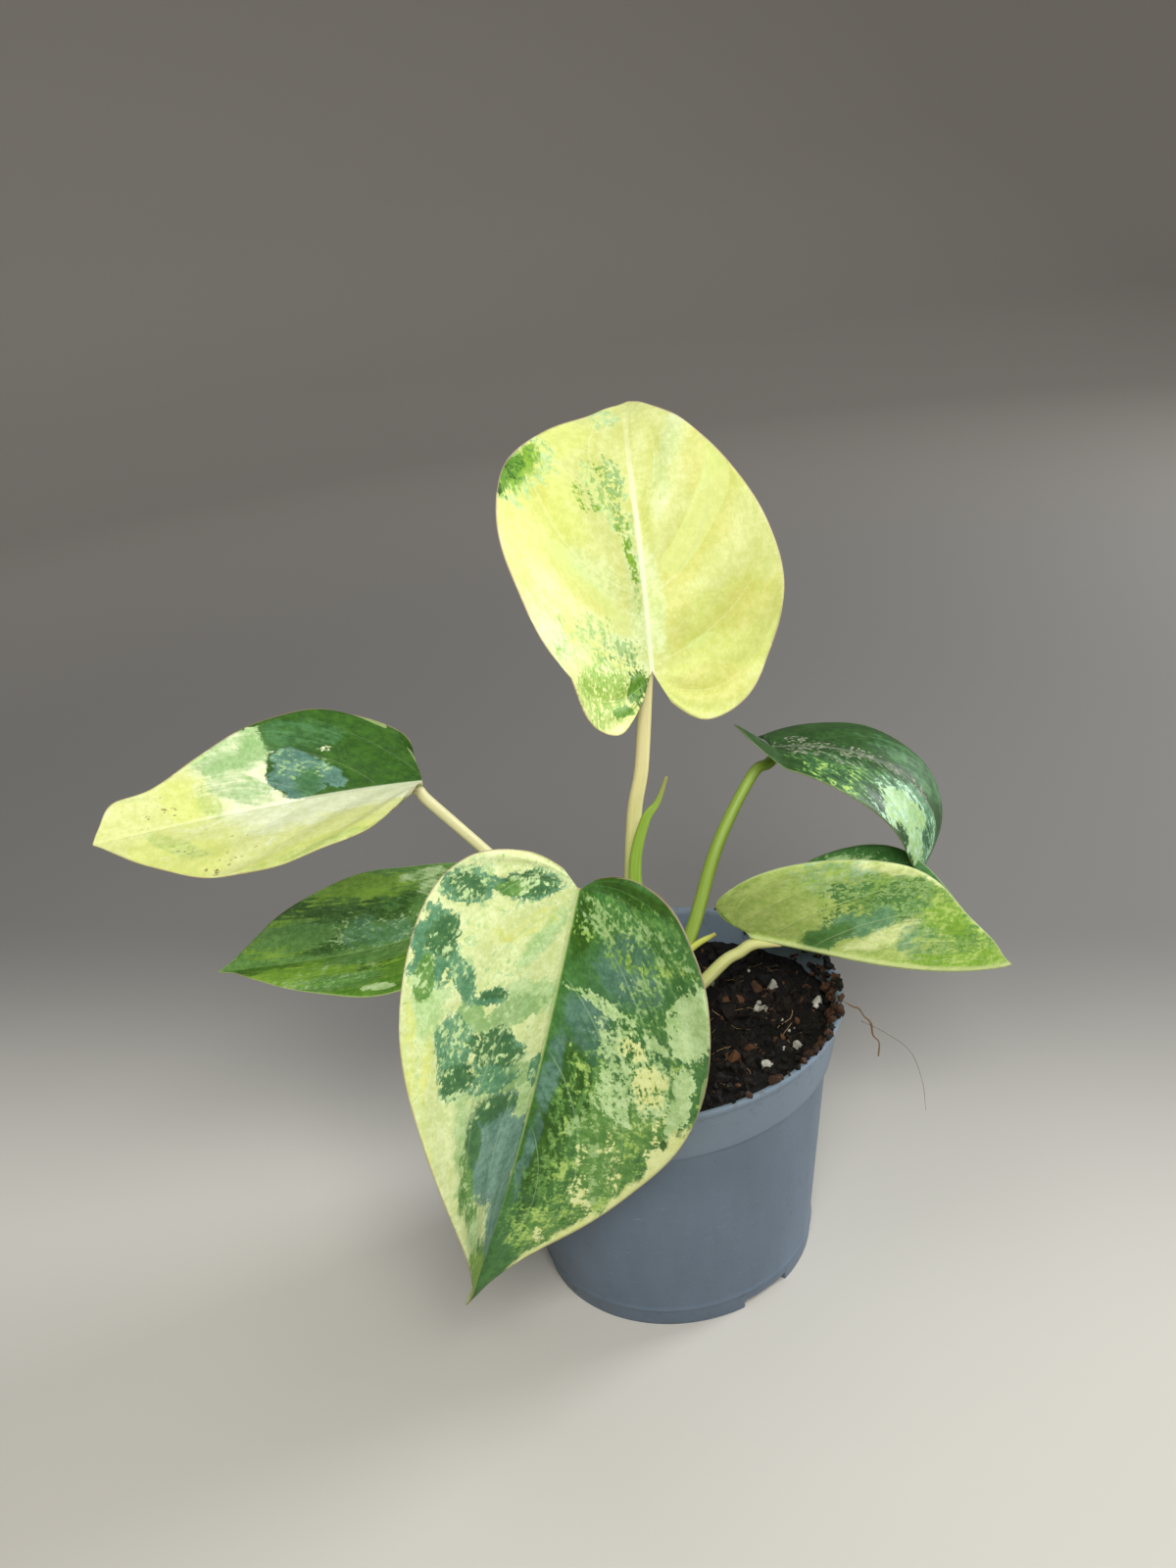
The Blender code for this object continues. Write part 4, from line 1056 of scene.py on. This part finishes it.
# %% Skin of the stalks
def stalk_finish(name, low, high, stripe, tip, stripe_show=0.5):
    """Lengthwise stripes, greener at the crown, a tinge of colour under the blade."""
    graph = Finish(name)
    along = graph.attribute("along", "Fac")
    around = graph.attribute("around", "Fac")
    place = graph.position()
    ring = graph.join(graph.math("SINE", around * math.tau), graph.math("COSINE", around * math.tau), along * 0.6)
    lines = graph.noise(ring, 3.2, 3.0, 0.6)
    blotch = graph.noise(place, 240.0, 2.0)
    paint = graph.mix(graph.smooth(along + (blotch - 0.5) * 0.3, 0.05, 0.75), colour(low), colour(high))
    paint = graph.mix(graph.smooth(lines, 0.50, 0.62) * stripe_show, paint, colour(stripe))
    paint = graph.mix(graph.smooth(along + (lines - 0.5) * 0.2, 0.86, 1.0) * 0.7, paint, colour(tip))
    specks = graph.smooth(graph.noise(place, 1500.0, 2.0, 0.7), 0.68, 0.74)
    paint = graph.mix(specks * 0.35, paint, colour("6f6040"))
    height = graph.noise(ring, 9.0, 2.0) + blotch * 0.5
    return graph.shade(paint, 0.40 + blotch * 0.15, height, 0.3, 0.0003)


STALK_SKINS = {
    "front": ("9aae4c", "b9c274", "dfe0a4", "c99a80"),
    "top": ("a3b552", "ded39a", "c2c66a", "c99c80"),
    "upper_left": ("a9b866", "d9d4a2", "c6cb88", "c7a68c"),
    "lower_left": ("8fa544", "a9b866", "cfd69a", "b5a070"),
    "upper_right": ("7f9a34", "88a43a", "a6bb58", "8aa24a"),
    "lower_right": ("b3b866", "c3c47c", "d9d6a0", "c5b080"),
}


def leaf_stalk(name):
    leaf = LEAVES[name]
    forward = unit(leaf["pointing"])
    facing = np.array(leaf["facing"], float)
    facing = unit(facing - forward * facing.dot(forward))
    junction = np.array(leaf["junction"])
    low, high = leaf["thick"]
    below = junction + forward * leaf["tuck"] * MM - facing * (BLADE_THICKNESS + high + 0.1) * MM
    knee = below + unit(np.array(leaf["stalk"][-1]) - below) * 4.0 * MM
    frames = midrib_frames(leaf)
    step = round(8.0 * MM / leaf["length"] * MIDRIB_STEPS)
    under_rib = frames[0][step] - frames[3][step] * 1.0 * MM
    route = (*leaf["stalk"], knee, below, under_rib)
    radii = [low * 1.25, low * 1.0, low * 0.93, (low + high) / 2, high, high * 0.98, high, high, high * 0.75, 0.4]
    skin = stalk_finish(f"stalk_skin_{name}", *STALK_SKINS[name])
    piece = rod(f"stalk_{name}", route, radii, skin, furrow=0.16, furrow_way=facing)
    dress(piece, "stalk", "stalk_" + name)


for name in LEAVES:
    leaf_stalk(name)

# %% The rolled shoot and the old stub
SHOOT_ROUTE = (
    (0.0012, -0.0015, 0.0641),
    (0.0008, -0.0030, 0.088),
    (0.0013, -0.0033, 0.1035),
    (0.0047, -0.0033, 0.1139),
    (0.0079, -0.0032, 0.1179),
    (0.0105, -0.0030, 0.1233),
)
STUB_ROUTE = ((0.0022, 0.0018, 0.0641), (0.0085, 0.0032, 0.0735), (0.0128, 0.0046, 0.0767), (0.0180, 0.0055, 0.0785))
shoot_skin = stalk_finish("shoot_skin", "7d9a2e", "86a838", "a9c05a", "a08f5a")
shoot = rod("shoot", SHOOT_ROUTE, (2.0, 1.7, 1.6, 1.5, 1.3, 1.15, 1.0, 0.7, 0.5, 0.32), shoot_skin, furrow=0.45)
dress(shoot, "shoot", "shoot")
stub_skin = stalk_finish("stub_skin", "a3ad3c", "b9c04c", "cdd070", "8a7a4a")
stub = rod("stub", STUB_ROUTE, (1.3, 1.1, 1.0, 0.9, 0.8, 0.7, 0.5), stub_skin, furrow=0.1)
dress(stub, "shoot", "stub")


# %% [markdown]
# ## The pot
#
# A thin-walled plastic nursery pot is a turned shape: a tapering wall, a stepped band with a
# thin lip at the top, a mould seam near the foot, and a foot ring with three notches that let
# water out. The profile is turned about the axis with a column of points at each side of each
# notch, and the points of the foot ring between them are lifted. The drain holes are cut last.

# %% Pot shape
POT_HEIGHT = 66.2
FOOT_DEPTH = 2.4
NOTCH_HALF = math.asin(6.25 / 32.0)
NOTCH_TURNS = [math.radians(-57 + 120 * i) for i in range(3)]
POT_PROFILE = (
    (0.0, 3.6), (20.0, 3.6), (31.0, 3.6), (31.9, 3.9), (32.3, 5.0), (39.2, 52.4), (39.5, 53.2), (40.4, 53.7),
    (40.8, 54.6), (42.9, 65.0), (43.4, 65.9), (43.8, 66.2), (44.6, 66.2), (44.95, 66.0), (45.0, 65.65),
    (44.95, 65.3), (44.6, 65.05), (44.2, 64.8), (44.05, 64.3), (41.75, 54.3), (41.6, 53.75), (41.2, 53.55),
    (40.6, 53.5), (40.35, 53.2), (40.25, 52.6), (33.3, 6.2), (33.28, 5.6), (33.46, 5.25), (33.5, 4.9),
    (33.42, 4.55), (33.1, 4.25), (33.0, 3.9), (32.72, 0.5), (32.6, 0.15), (32.2, 0.0), (31.5, 0.0),
    (31.2, 0.2), (31.0, 0.6), (30.8, 2.1), (30.5, 2.4), (20.0, 2.4), (8.5, 2.4), (8.1, 0.3), (7.8, 0.0), (0.0, 0.0),
)


def pot_angles():
    """Even steps round the pot, with two close columns at each side of each notch."""
    angles = [math.tau * i / 180 for i in range(180)]
    for turn in NOTCH_TURNS:
        for side in (-1, 1):
            for shift in (-0.002, 0.002):
                angles.append((turn + side * NOTCH_HALF + shift) % math.tau)
    return sorted(set(round(a, 6) for a in angles))


def in_notch(x, y):
    angle = math.atan2(y, x)
    return any(abs((angle - turn + math.pi) % math.tau - math.pi) < NOTCH_HALF for turn in NOTCH_TURNS)


def build_pot(material):
    profile = [(radius * MM, height * MM) for radius, height in reversed(POT_PROFILE)]
    mesh, _ = turned("pot", profile, pot_angles())
    for vertex in mesh.vertices:
        x, y, z = vertex.co
        if math.hypot(x, y) > 29 * MM and z < 2.1 * MM and in_notch(x, y):
            vertex.co.z = 2.1 * MM
    pot = add_object("pot", mesh, material)
    cutter = bmesh.new()
    for index in range(6):
        turn = math.tau * (index + 0.5) / 6
        place = Matrix.Translation((0.020 * math.cos(turn), 0.020 * math.sin(turn), 0.003))
        bmesh.ops.create_cone(
            cutter, cap_ends=True, segments=32, radius1=0.003, radius2=0.003, depth=0.004, matrix=place
        )
    cut_mesh = bpy.data.meshes.new("drain_holes")
    cutter.to_mesh(cut_mesh)
    cutter.free()
    holes = add_object("drain_holes", cut_mesh)
    cut = pot.modifiers.new("Holes", "BOOLEAN")
    cut.operation = "DIFFERENCE"
    cut.solver = "EXACT"
    cut.object = holes
    done = bpy.data.meshes.new_from_object(pot.evaluated_get(bpy.context.evaluated_depsgraph_get()))
    done.name = "pot"
    for thing in (pot, holes):
        bpy.data.objects.remove(thing, do_unlink=True)
    done.shade_smooth()
    done.set_sharp_from_angle(angle=math.radians(38))
    return add_object("pot", done)


# %% Pot plastic
def pot_finish():
    """Thin grey-blue plastic: soft clouding, faint scuffs, and a little soil dust near the rim."""
    graph = Finish("nursery_plastic")
    place = graph.position()
    x, y, z = graph.split(place)
    clouds = graph.noise(place, 45.0, 4.0, 0.6)
    flow = graph.noise(graph.vector("MULTIPLY", place, (1.0, 1.0, 0.12)), 160.0, 3.0, 0.6)
    paint = graph.mix(clouds * 0.6 + flow * 0.4, colour("475462"), colour("667687"))
    # Painted light: the upper band is lightened to stand for the brighter light that falls on it
    paint = graph.mix(graph.smooth(z, 0.050, 0.056) * 0.35, paint, colour("8494a3"))
    grime = graph.smooth(graph.noise(place, 320.0, 3.0, 0.7), 0.56, 0.72)
    near_rim = graph.smooth(z, 0.056, 0.066) * 0.5 + graph.smooth(z, 0.012, 0.0) * 0.35
    paint = graph.mix(grime * near_rim, paint, colour("55504a"))
    dust = graph.smooth(graph.noise(place, 1300.0, 2.0, 0.8), 0.66, 0.72)
    paint = graph.mix(dust * 0.35, paint, colour("3d3833"))
    scuffs = graph.noise(graph.vector("MULTIPLY", place, (1.0, 1.0, 6.0)), 210.0, 4.0, 0.75)
    paint = graph.mix(graph.smooth(scuffs, 0.60, 0.75) * 0.25, paint, colour("a3b0bb"))
    grain = graph.noise(place, 2600.0, 2.0, 0.6)
    rough = 0.42 + clouds * 0.12 + grime * 0.15
    return graph.shade(paint, rough, grain * 0.6 + flow * 0.8, 0.18, 0.0003)


pot = build_pot(pot_finish())
dress(pot, "pot", "pot")


# %% [markdown]
# ## Potting mix
#
# The mix is nearly black, wet and crumbly, with white grains of perlite, chips of bark and fine
# root fibres. Its bulk is a lumpy plug in the pot. On its surface one Geometry Nodes tree is
# used four times: it scatters points, puts one of a few small shapes on each, turned and scaled
# at random, and gives each copy its own tone for the material to read.

# %% Lumpy plug of soil
SOIL_SIDES = 168
SOIL_RINGS = 46
SOIL_BOTTOM = 3.75


def wall_inside(z):
    """Radius of the pot's inner face in mm at a height in mm."""
    return float(np.interp(z, (3.6, 5.0, 52.4, 54.6, 65.0), (31.5, 32.2, 39.1, 40.7, 42.8)))


def soil_height(x, y):
    """Height of the mix in mm: it slopes towards the viewer and is lumpy at several sizes."""
    spot = Vector((x, y, 0.0)) / 8.5
    lump = noise.noise(spot) + 0.5 * noise.noise(spot * 2.3 + Vector((7.0, 3.0, 0.0)))
    crumb = noise.noise(Vector((x, y, 4.0)) / 1.9) * 0.5 + noise.noise(Vector((x, y, 9.0)) / 0.9) * 0.22
    return 60.5 - 0.075 * y + 0.020 * x + 1.1 * lump + crumb


def soil_points():
    rings = []
    for ring in range(SOIL_RINGS + 1):
        share = 1.0 - ring / SOIL_RINGS
        row = []
        for side in range(SOIL_SIDES):
            turn = math.tau * side / SOIL_SIDES
            rim = min(soil_height(44 * math.cos(turn), 44 * math.sin(turn)), POT_HEIGHT - 1.2)
            radius = (wall_inside(rim) - 0.12) * share
            x, y = radius * math.cos(turn), radius * math.sin(turn)
            row.append((x * MM, y * MM, min(soil_height(x, y), POT_HEIGHT - 0.8) * MM))
        rings.append(row)
    return rings


def build_soil(material):
    rings = soil_points()
    walls = []
    for z in (SOIL_BOTTOM, 20.0, 40.0, 52.0):
        radius = wall_inside(z) - 0.15
        angles = [math.tau * side / SOIL_SIDES for side in range(SOIL_SIDES)]
        walls.append([(radius * MM * math.cos(a), radius * MM * math.sin(a), z * MM) for a in angles])
    rows = walls + rings[:-1]
    points = [(0.0, 0.0, SOIL_BOTTOM * MM)] + [point for row in rows for point in row] + [rings[-1][0]]
    faces = []
    last = len(points) - 1
    for side in range(SOIL_SIDES):
        after = (side + 1) % SOIL_SIDES
        faces.append((0, 1 + after, 1 + side))
        for row in range(len(rows) - 1):
            low, high = 1 + row * SOIL_SIDES, 1 + (row + 1) * SOIL_SIDES
            faces.append((low + side, low + after, high + after, high + side))
        top = 1 + (len(rows) - 1) * SOIL_SIDES
        faces.append((top + side, top + after, last))
    soil = add_object("soil_plug", mesh_from("soil_plug", points, faces), material)
    sheet_points = [point for row in rings[1:-1] for point in row]
    sheet_faces = []
    for row in range(len(rings) - 3):
        low, high = row * SOIL_SIDES, (row + 1) * SOIL_SIDES
        for side in range(SOIL_SIDES):
            after = (side + 1) % SOIL_SIDES
            sheet_faces.append((low + side, low + after, high + after, high + side))
    return soil, sheet_points, sheet_faces


def earth_finish(name, dark, light, accent, rough=0.85, shine=0.5):
    """Crumbly matter whose tone varies from copy to copy."""
    graph = Finish(name)
    place = graph.position()
    tone = graph.attribute("tone", "Fac")
    cloud = graph.noise(place, 330.0, 4.0, 0.7)
    grain = graph.noise(place, 1900.0, 3.0, 0.7)
    paint = graph.mix(graph.smooth(tone * 0.6 + cloud * 0.7, 0.25, 0.85), colour(dark), colour(light))
    paint = graph.mix(graph.smooth(grain, 0.60, 0.75) * 0.5, paint, colour(accent))
    return graph.shade(
        paint, rough - cloud * 0.25, grain + cloud, 0.7, 0.0006, Specular_IOR_Level=shine
    )


soil_skin = earth_finish("potting_mix", "030202", "150e09", "2c1d16", 0.9, 0.25)
soil, sheet_points, sheet_faces = build_soil(soil_skin)
dress(soil, "soil", "soil")


# %% Small shapes to scatter
def pebble(name, seed, corners, squash, rough):
    """A small faceted lump: the hull of a few points near an egg."""
    random = np.random.default_rng(seed)
    shape = bmesh.new()
    for _ in range(corners):
        way = unit(random.normal(size=3)) * (1 + rough * random.uniform(-1, 1))
        shape.verts.new(tuple(way * np.array(squash) * 0.5))
    bmesh.ops.convex_hull(shape, input=shape.verts)
    bmesh.ops.delete(shape, geom=[v for v in shape.verts if not v.link_faces], context="VERTS")
    bmesh.ops.recalc_face_normals(shape, faces=shape.faces)
    mesh = bpy.data.meshes.new(name)
    shape.to_mesh(mesh)
    shape.free()
    return bpy.data.objects.new(name, mesh)


def fibre(name, seed):
    """A thin bent root, one unit long."""
    random = np.random.default_rng(seed)
    knots = np.cumsum(np.vstack([np.zeros(3), random.normal((0.25, 0, 0.01), (0.06, 0.12, 0.07), (4, 3))]), axis=0)
    line = through(knots - knots.mean(axis=0), 9)
    points, faces = [], []
    for ring, centre in enumerate(line):
        size = 0.012 * (1 - 0.6 * ring / 8)
        for corner in range(3):
            turn = math.tau * corner / 3
            points.append(centre + np.array((0.0, math.cos(turn), math.sin(turn))) * size)
    for ring in range(8):
        for corner in range(3):
            low, low_next = ring * 3 + corner, ring * 3 + (corner + 1) % 3
            faces.append((low, low_next, low_next + 3, low + 3))
    faces += [(2, 1, 0), (24, 25, 26)]
    return bpy.data.objects.new(name, mesh_from(name, points, faces))


def shape_set(name, shapes):
    collection = bpy.data.collections.new(name)
    for shape in shapes:
        collection.objects.link(shape)
    return collection


CRUMBS = shape_set("crumb_shapes", [pebble(f"crumb_{i}", 20 + i, 20, (1, 0.8, 0.7), 0.25) for i in range(7)])
GRAINS = shape_set("perlite_shapes", [pebble(f"grain_{i}", 40 + i, 34, (1, 0.85, 0.75), 0.2) for i in range(5)])
CHIPS = shape_set("chip_shapes", [pebble(f"chip_{i}", 60 + i, 12, (1, 0.55, 0.22), 0.3) for i in range(5)])
FIBRES = shape_set("fibre_shapes", [fibre(f"root_{i}", 80 + i) for i in range(6)])


# %% The scatter tree
def scatter_tree():
    graph, given = group_with(
        "scatter_on_soil",
        (
            ("Shapes", "Collection"), ("Per square metre", "Float"), ("Smallest", "Float"), ("Largest", "Float"),
            ("Lift", "Float"), ("Flatness", "Float"), ("Seed", "Int"), ("Material", "Material"),
        ),
    )
    sockets = {0: given["Geometry"], "Density": given["Per square metre"], "Seed": given["Seed"]}
    points = graph.node("GeometryNodeDistributePointsOnFaces", None, sockets)

    def random(low, high, seed, kind="FLOAT", output=1):
        first = {"FLOAT": 2, "FLOAT_VECTOR": 0}[kind]
        values = {first: low, first + 1: high, "Seed": graph.math("ADD", given["Seed"], seed)}
        return graph.node("FunctionNodeRandomValue", {"data_type": kind}, values, output)

    lift = graph.join(0.0, 0.0, random(-0.6, 1.0, 1) * given["Lift"])
    points = graph.node("GeometryNodeSetPosition", None, {0: points, "Offset": lift})
    shapes = graph.node("GeometryNodeCollectionInfo", None, {0: given["Shapes"], 1: True, 2: True})
    size = given["Smallest"] + (given["Largest"] - given["Smallest"]) * random(0.0, 1.0, 2) ** 2.2
    spin = random((-1.0, -1.0, -1.0), (1.0, 1.0, 1.0), 3, "FLOAT_VECTOR", 0)
    tilt_x, tilt_y, turn = graph.split(spin)
    free = 1.0 - given["Flatness"]
    spin = graph.join(tilt_x * math.pi * free, tilt_y * math.pi * free, turn * math.pi)
    sockets = {0: points, 2: shapes, 3: True, 5: spin, 6: graph.join(size, size, size)}
    copies = graph.node("GeometryNodeInstanceOnPoints", None, sockets)
    keep = {"data_type": "FLOAT", "domain": "INSTANCE"}
    tone = {0: copies, "Name": "tone", "Value": random(0.0, 1.0, 4)}
    copies = graph.node("GeometryNodeStoreNamedAttribute", keep, tone)
    return finish_group(graph, copies, given["Material"])


SCATTER_TREE = scatter_tree()


def scatter(name, shapes, density, sizes, lift, flatness, seed, material):
    """Scatters shapes over the soil's surface, far enough from the wall. sizes are in mm."""
    rings_left_out = min(int(sizes[1] * 0.5 / 0.92), 5)
    faces = sheet_faces[rings_left_out * SOIL_SIDES :]
    ground = add_object(name + "_ground", mesh_from(name + "_ground", sheet_points, faces))
    values = {
        "Shapes": shapes, "Per square metre": float(density), "Smallest": sizes[0] * MM,
        "Largest": sizes[1] * MM, "Lift": lift * MM, "Flatness": flatness, "Seed": seed, "Material": material,
    }
    piece = run_tree(name, ground, SCATTER_TREE, values)
    dress(piece, "soil")
    return piece


perlite_skin = earth_finish("perlite", "6c695f", "c0bdb2", "8e8a80", 0.9, 0.3)
bark_skin = earth_finish("bark_chips", "1e120a", "553621", "7c5836", 0.9, 0.3)
fibre_skin = earth_finish("root_fibres", "6c4f33", "a98a62", "8a6a46", 0.8, 0.3)
rim_skin = earth_finish("rim_clods", "2e1b0f", "7d5430", "ab7c4a", 0.9, 0.3)
clod_skin = earth_finish("brown_clods", "1b1009", "5a3b22", "8a6038", 0.9, 0.3)
scatter("soil_crumbs", CRUMBS, 400000, (0.7, 3.2), 0.5, 0.0, 3, soil_skin)
scatter("soil_clumps", CRUMBS, 44000, (2.2, 6.0), 1.4, 0.2, 5, soil_skin)
scatter("soil_clods", CRUMBS, 9000, (1.2, 4.5), 0.9, 0.2, 17, clod_skin)
scatter("soil_perlite", GRAINS, 11000, (0.8, 4.2), 0.9, 0.0, 11, perlite_skin)
scatter("soil_bark", CHIPS, 16000, (1.2, 4.5), 0.9, 0.3, 23, bark_skin)
scatter("soil_fibres", FIBRES, 22000, (4.0, 11.0), 1.3, 0.85, 31, fibre_skin)


# %% Crumbs caught on the rim, and two stray roots
def spill(name, count, seed, skin):
    """Crumbs on the right-hand part of the rim and just inside it, as one mesh."""
    random = np.random.default_rng(seed)
    points, faces = [], []
    for _ in range(count):
        source = CRUMBS.objects[int(random.integers(len(CRUMBS.objects)))].data
        turn = math.radians(random.normal(-12, 30))
        radius = 44.4 - 3.6 * random.random() ** 1.4
        size = random.uniform(0.7, 2.1) + 1.4 * random.random() ** 6
        height = float(np.interp(radius, (40.8, 42.6, 43.6, 44.4), (61.5, 64.4, 66.2, 66.2))) + size * 0.25
        spin = Matrix.Rotation(random.uniform(0, math.tau), 3, unit(random.normal(size=3)))
        place = Vector((radius * math.cos(turn), radius * math.sin(turn), height))
        start = len(points)
        points.extend(tuple((place + spin @ vertex.co * size) * MM) for vertex in source.vertices)
        faces.extend([start + v for v in face.vertices] for face in source.polygons)
    dress(add_object(name, mesh_from(name, points, faces, smooth=False), skin), "soil")


spill("rim_crumbs", 150, 5, rim_skin)
spill("rim_dark_crumbs", 90, 6, soil_skin)
STRAY_ROOTS = {
    "stray_root": (((43.5, -12, 66.6), (45.2, -13, 65.6), (46.4, -13, 64.9), (47.6, -12.6, 62.4), (48.8, -13.5, 61), (49.2, -13.2, 57.5), (50.4, -13.5, 55.5), (50.0, -13.8, 52)), (0.14, 0.20, 0.16, 0.26, 0.14, 0.18)),
    "stray_hair": (((46.8, -13, 61.5), (52, -12, 57), (58, -11, 50), (60.5, -11, 41), (61, -11, 33)), (0.07, 0.06, 0.05, 0.05)),
}
for name, (route, radii) in STRAY_ROOTS.items():
    dress(rod(name, np.array(route) * MM, radii, fibre_skin, sides=5), "soil")


# %% [markdown]
# ## The crown
#
# Under the stalks sits the plant's short stem: a knobbly, ringed stump, half buried, from which
# the stalks rise. It is turned like the pot and then pushed in and out by noise, so that its
# rings look like old leaf scars.

# %% Crown
def build_crown():
    profile = [(0.0, 40.0), (6.0, 40.0), (6.6, 46.0), (7.4, 52.0), (8.0, 56.0)]
    profile += [(8.2 + 0.4 * math.sin(z * 2.4), 56.0 + z) for z in np.linspace(0.5, 7.0, 14)]
    profile += [(8.2, 63.6), (7.2, 64.3), (4.5, 64.8), (0.0, 65.0)]
    mesh, _ = turned("crown", [(r * MM, z * MM) for r, z in profile], [math.tau * i / 64 for i in range(64)])
    for vertex in mesh.vertices:
        x, y, z = vertex.co / MM
        bulge = 1 + 0.12 * noise.noise(Vector((x, y, z * 1.4)) / 3.0) + 0.05 * noise.noise(Vector((x, y, z)) / 0.9)
        vertex.co.x = x * bulge * MM
        vertex.co.y = (y * bulge + 1.0) * MM
    graph = Finish("crown_bark")
    place = graph.position()
    z = graph.split(place)[2]
    rings = graph.noise(graph.vector("MULTIPLY", place, (0.5, 0.5, 3.0)), 260.0, 3.0, 0.6)
    paint = graph.mix(rings, colour("5f6428"), colour("98994e"))
    paint = graph.mix(graph.smooth(rings, 0.55, 0.7) * 0.6, paint, colour("6e5434"))
    paint = graph.mix(graph.smooth(z, 0.0615, 0.059), paint, colour("2c2016"))
    graph.shade(paint, 0.6, rings, 0.6, 0.0008)
    return add_object("crown", mesh, graph.material)


dress(build_crown(), "crown", "crown")
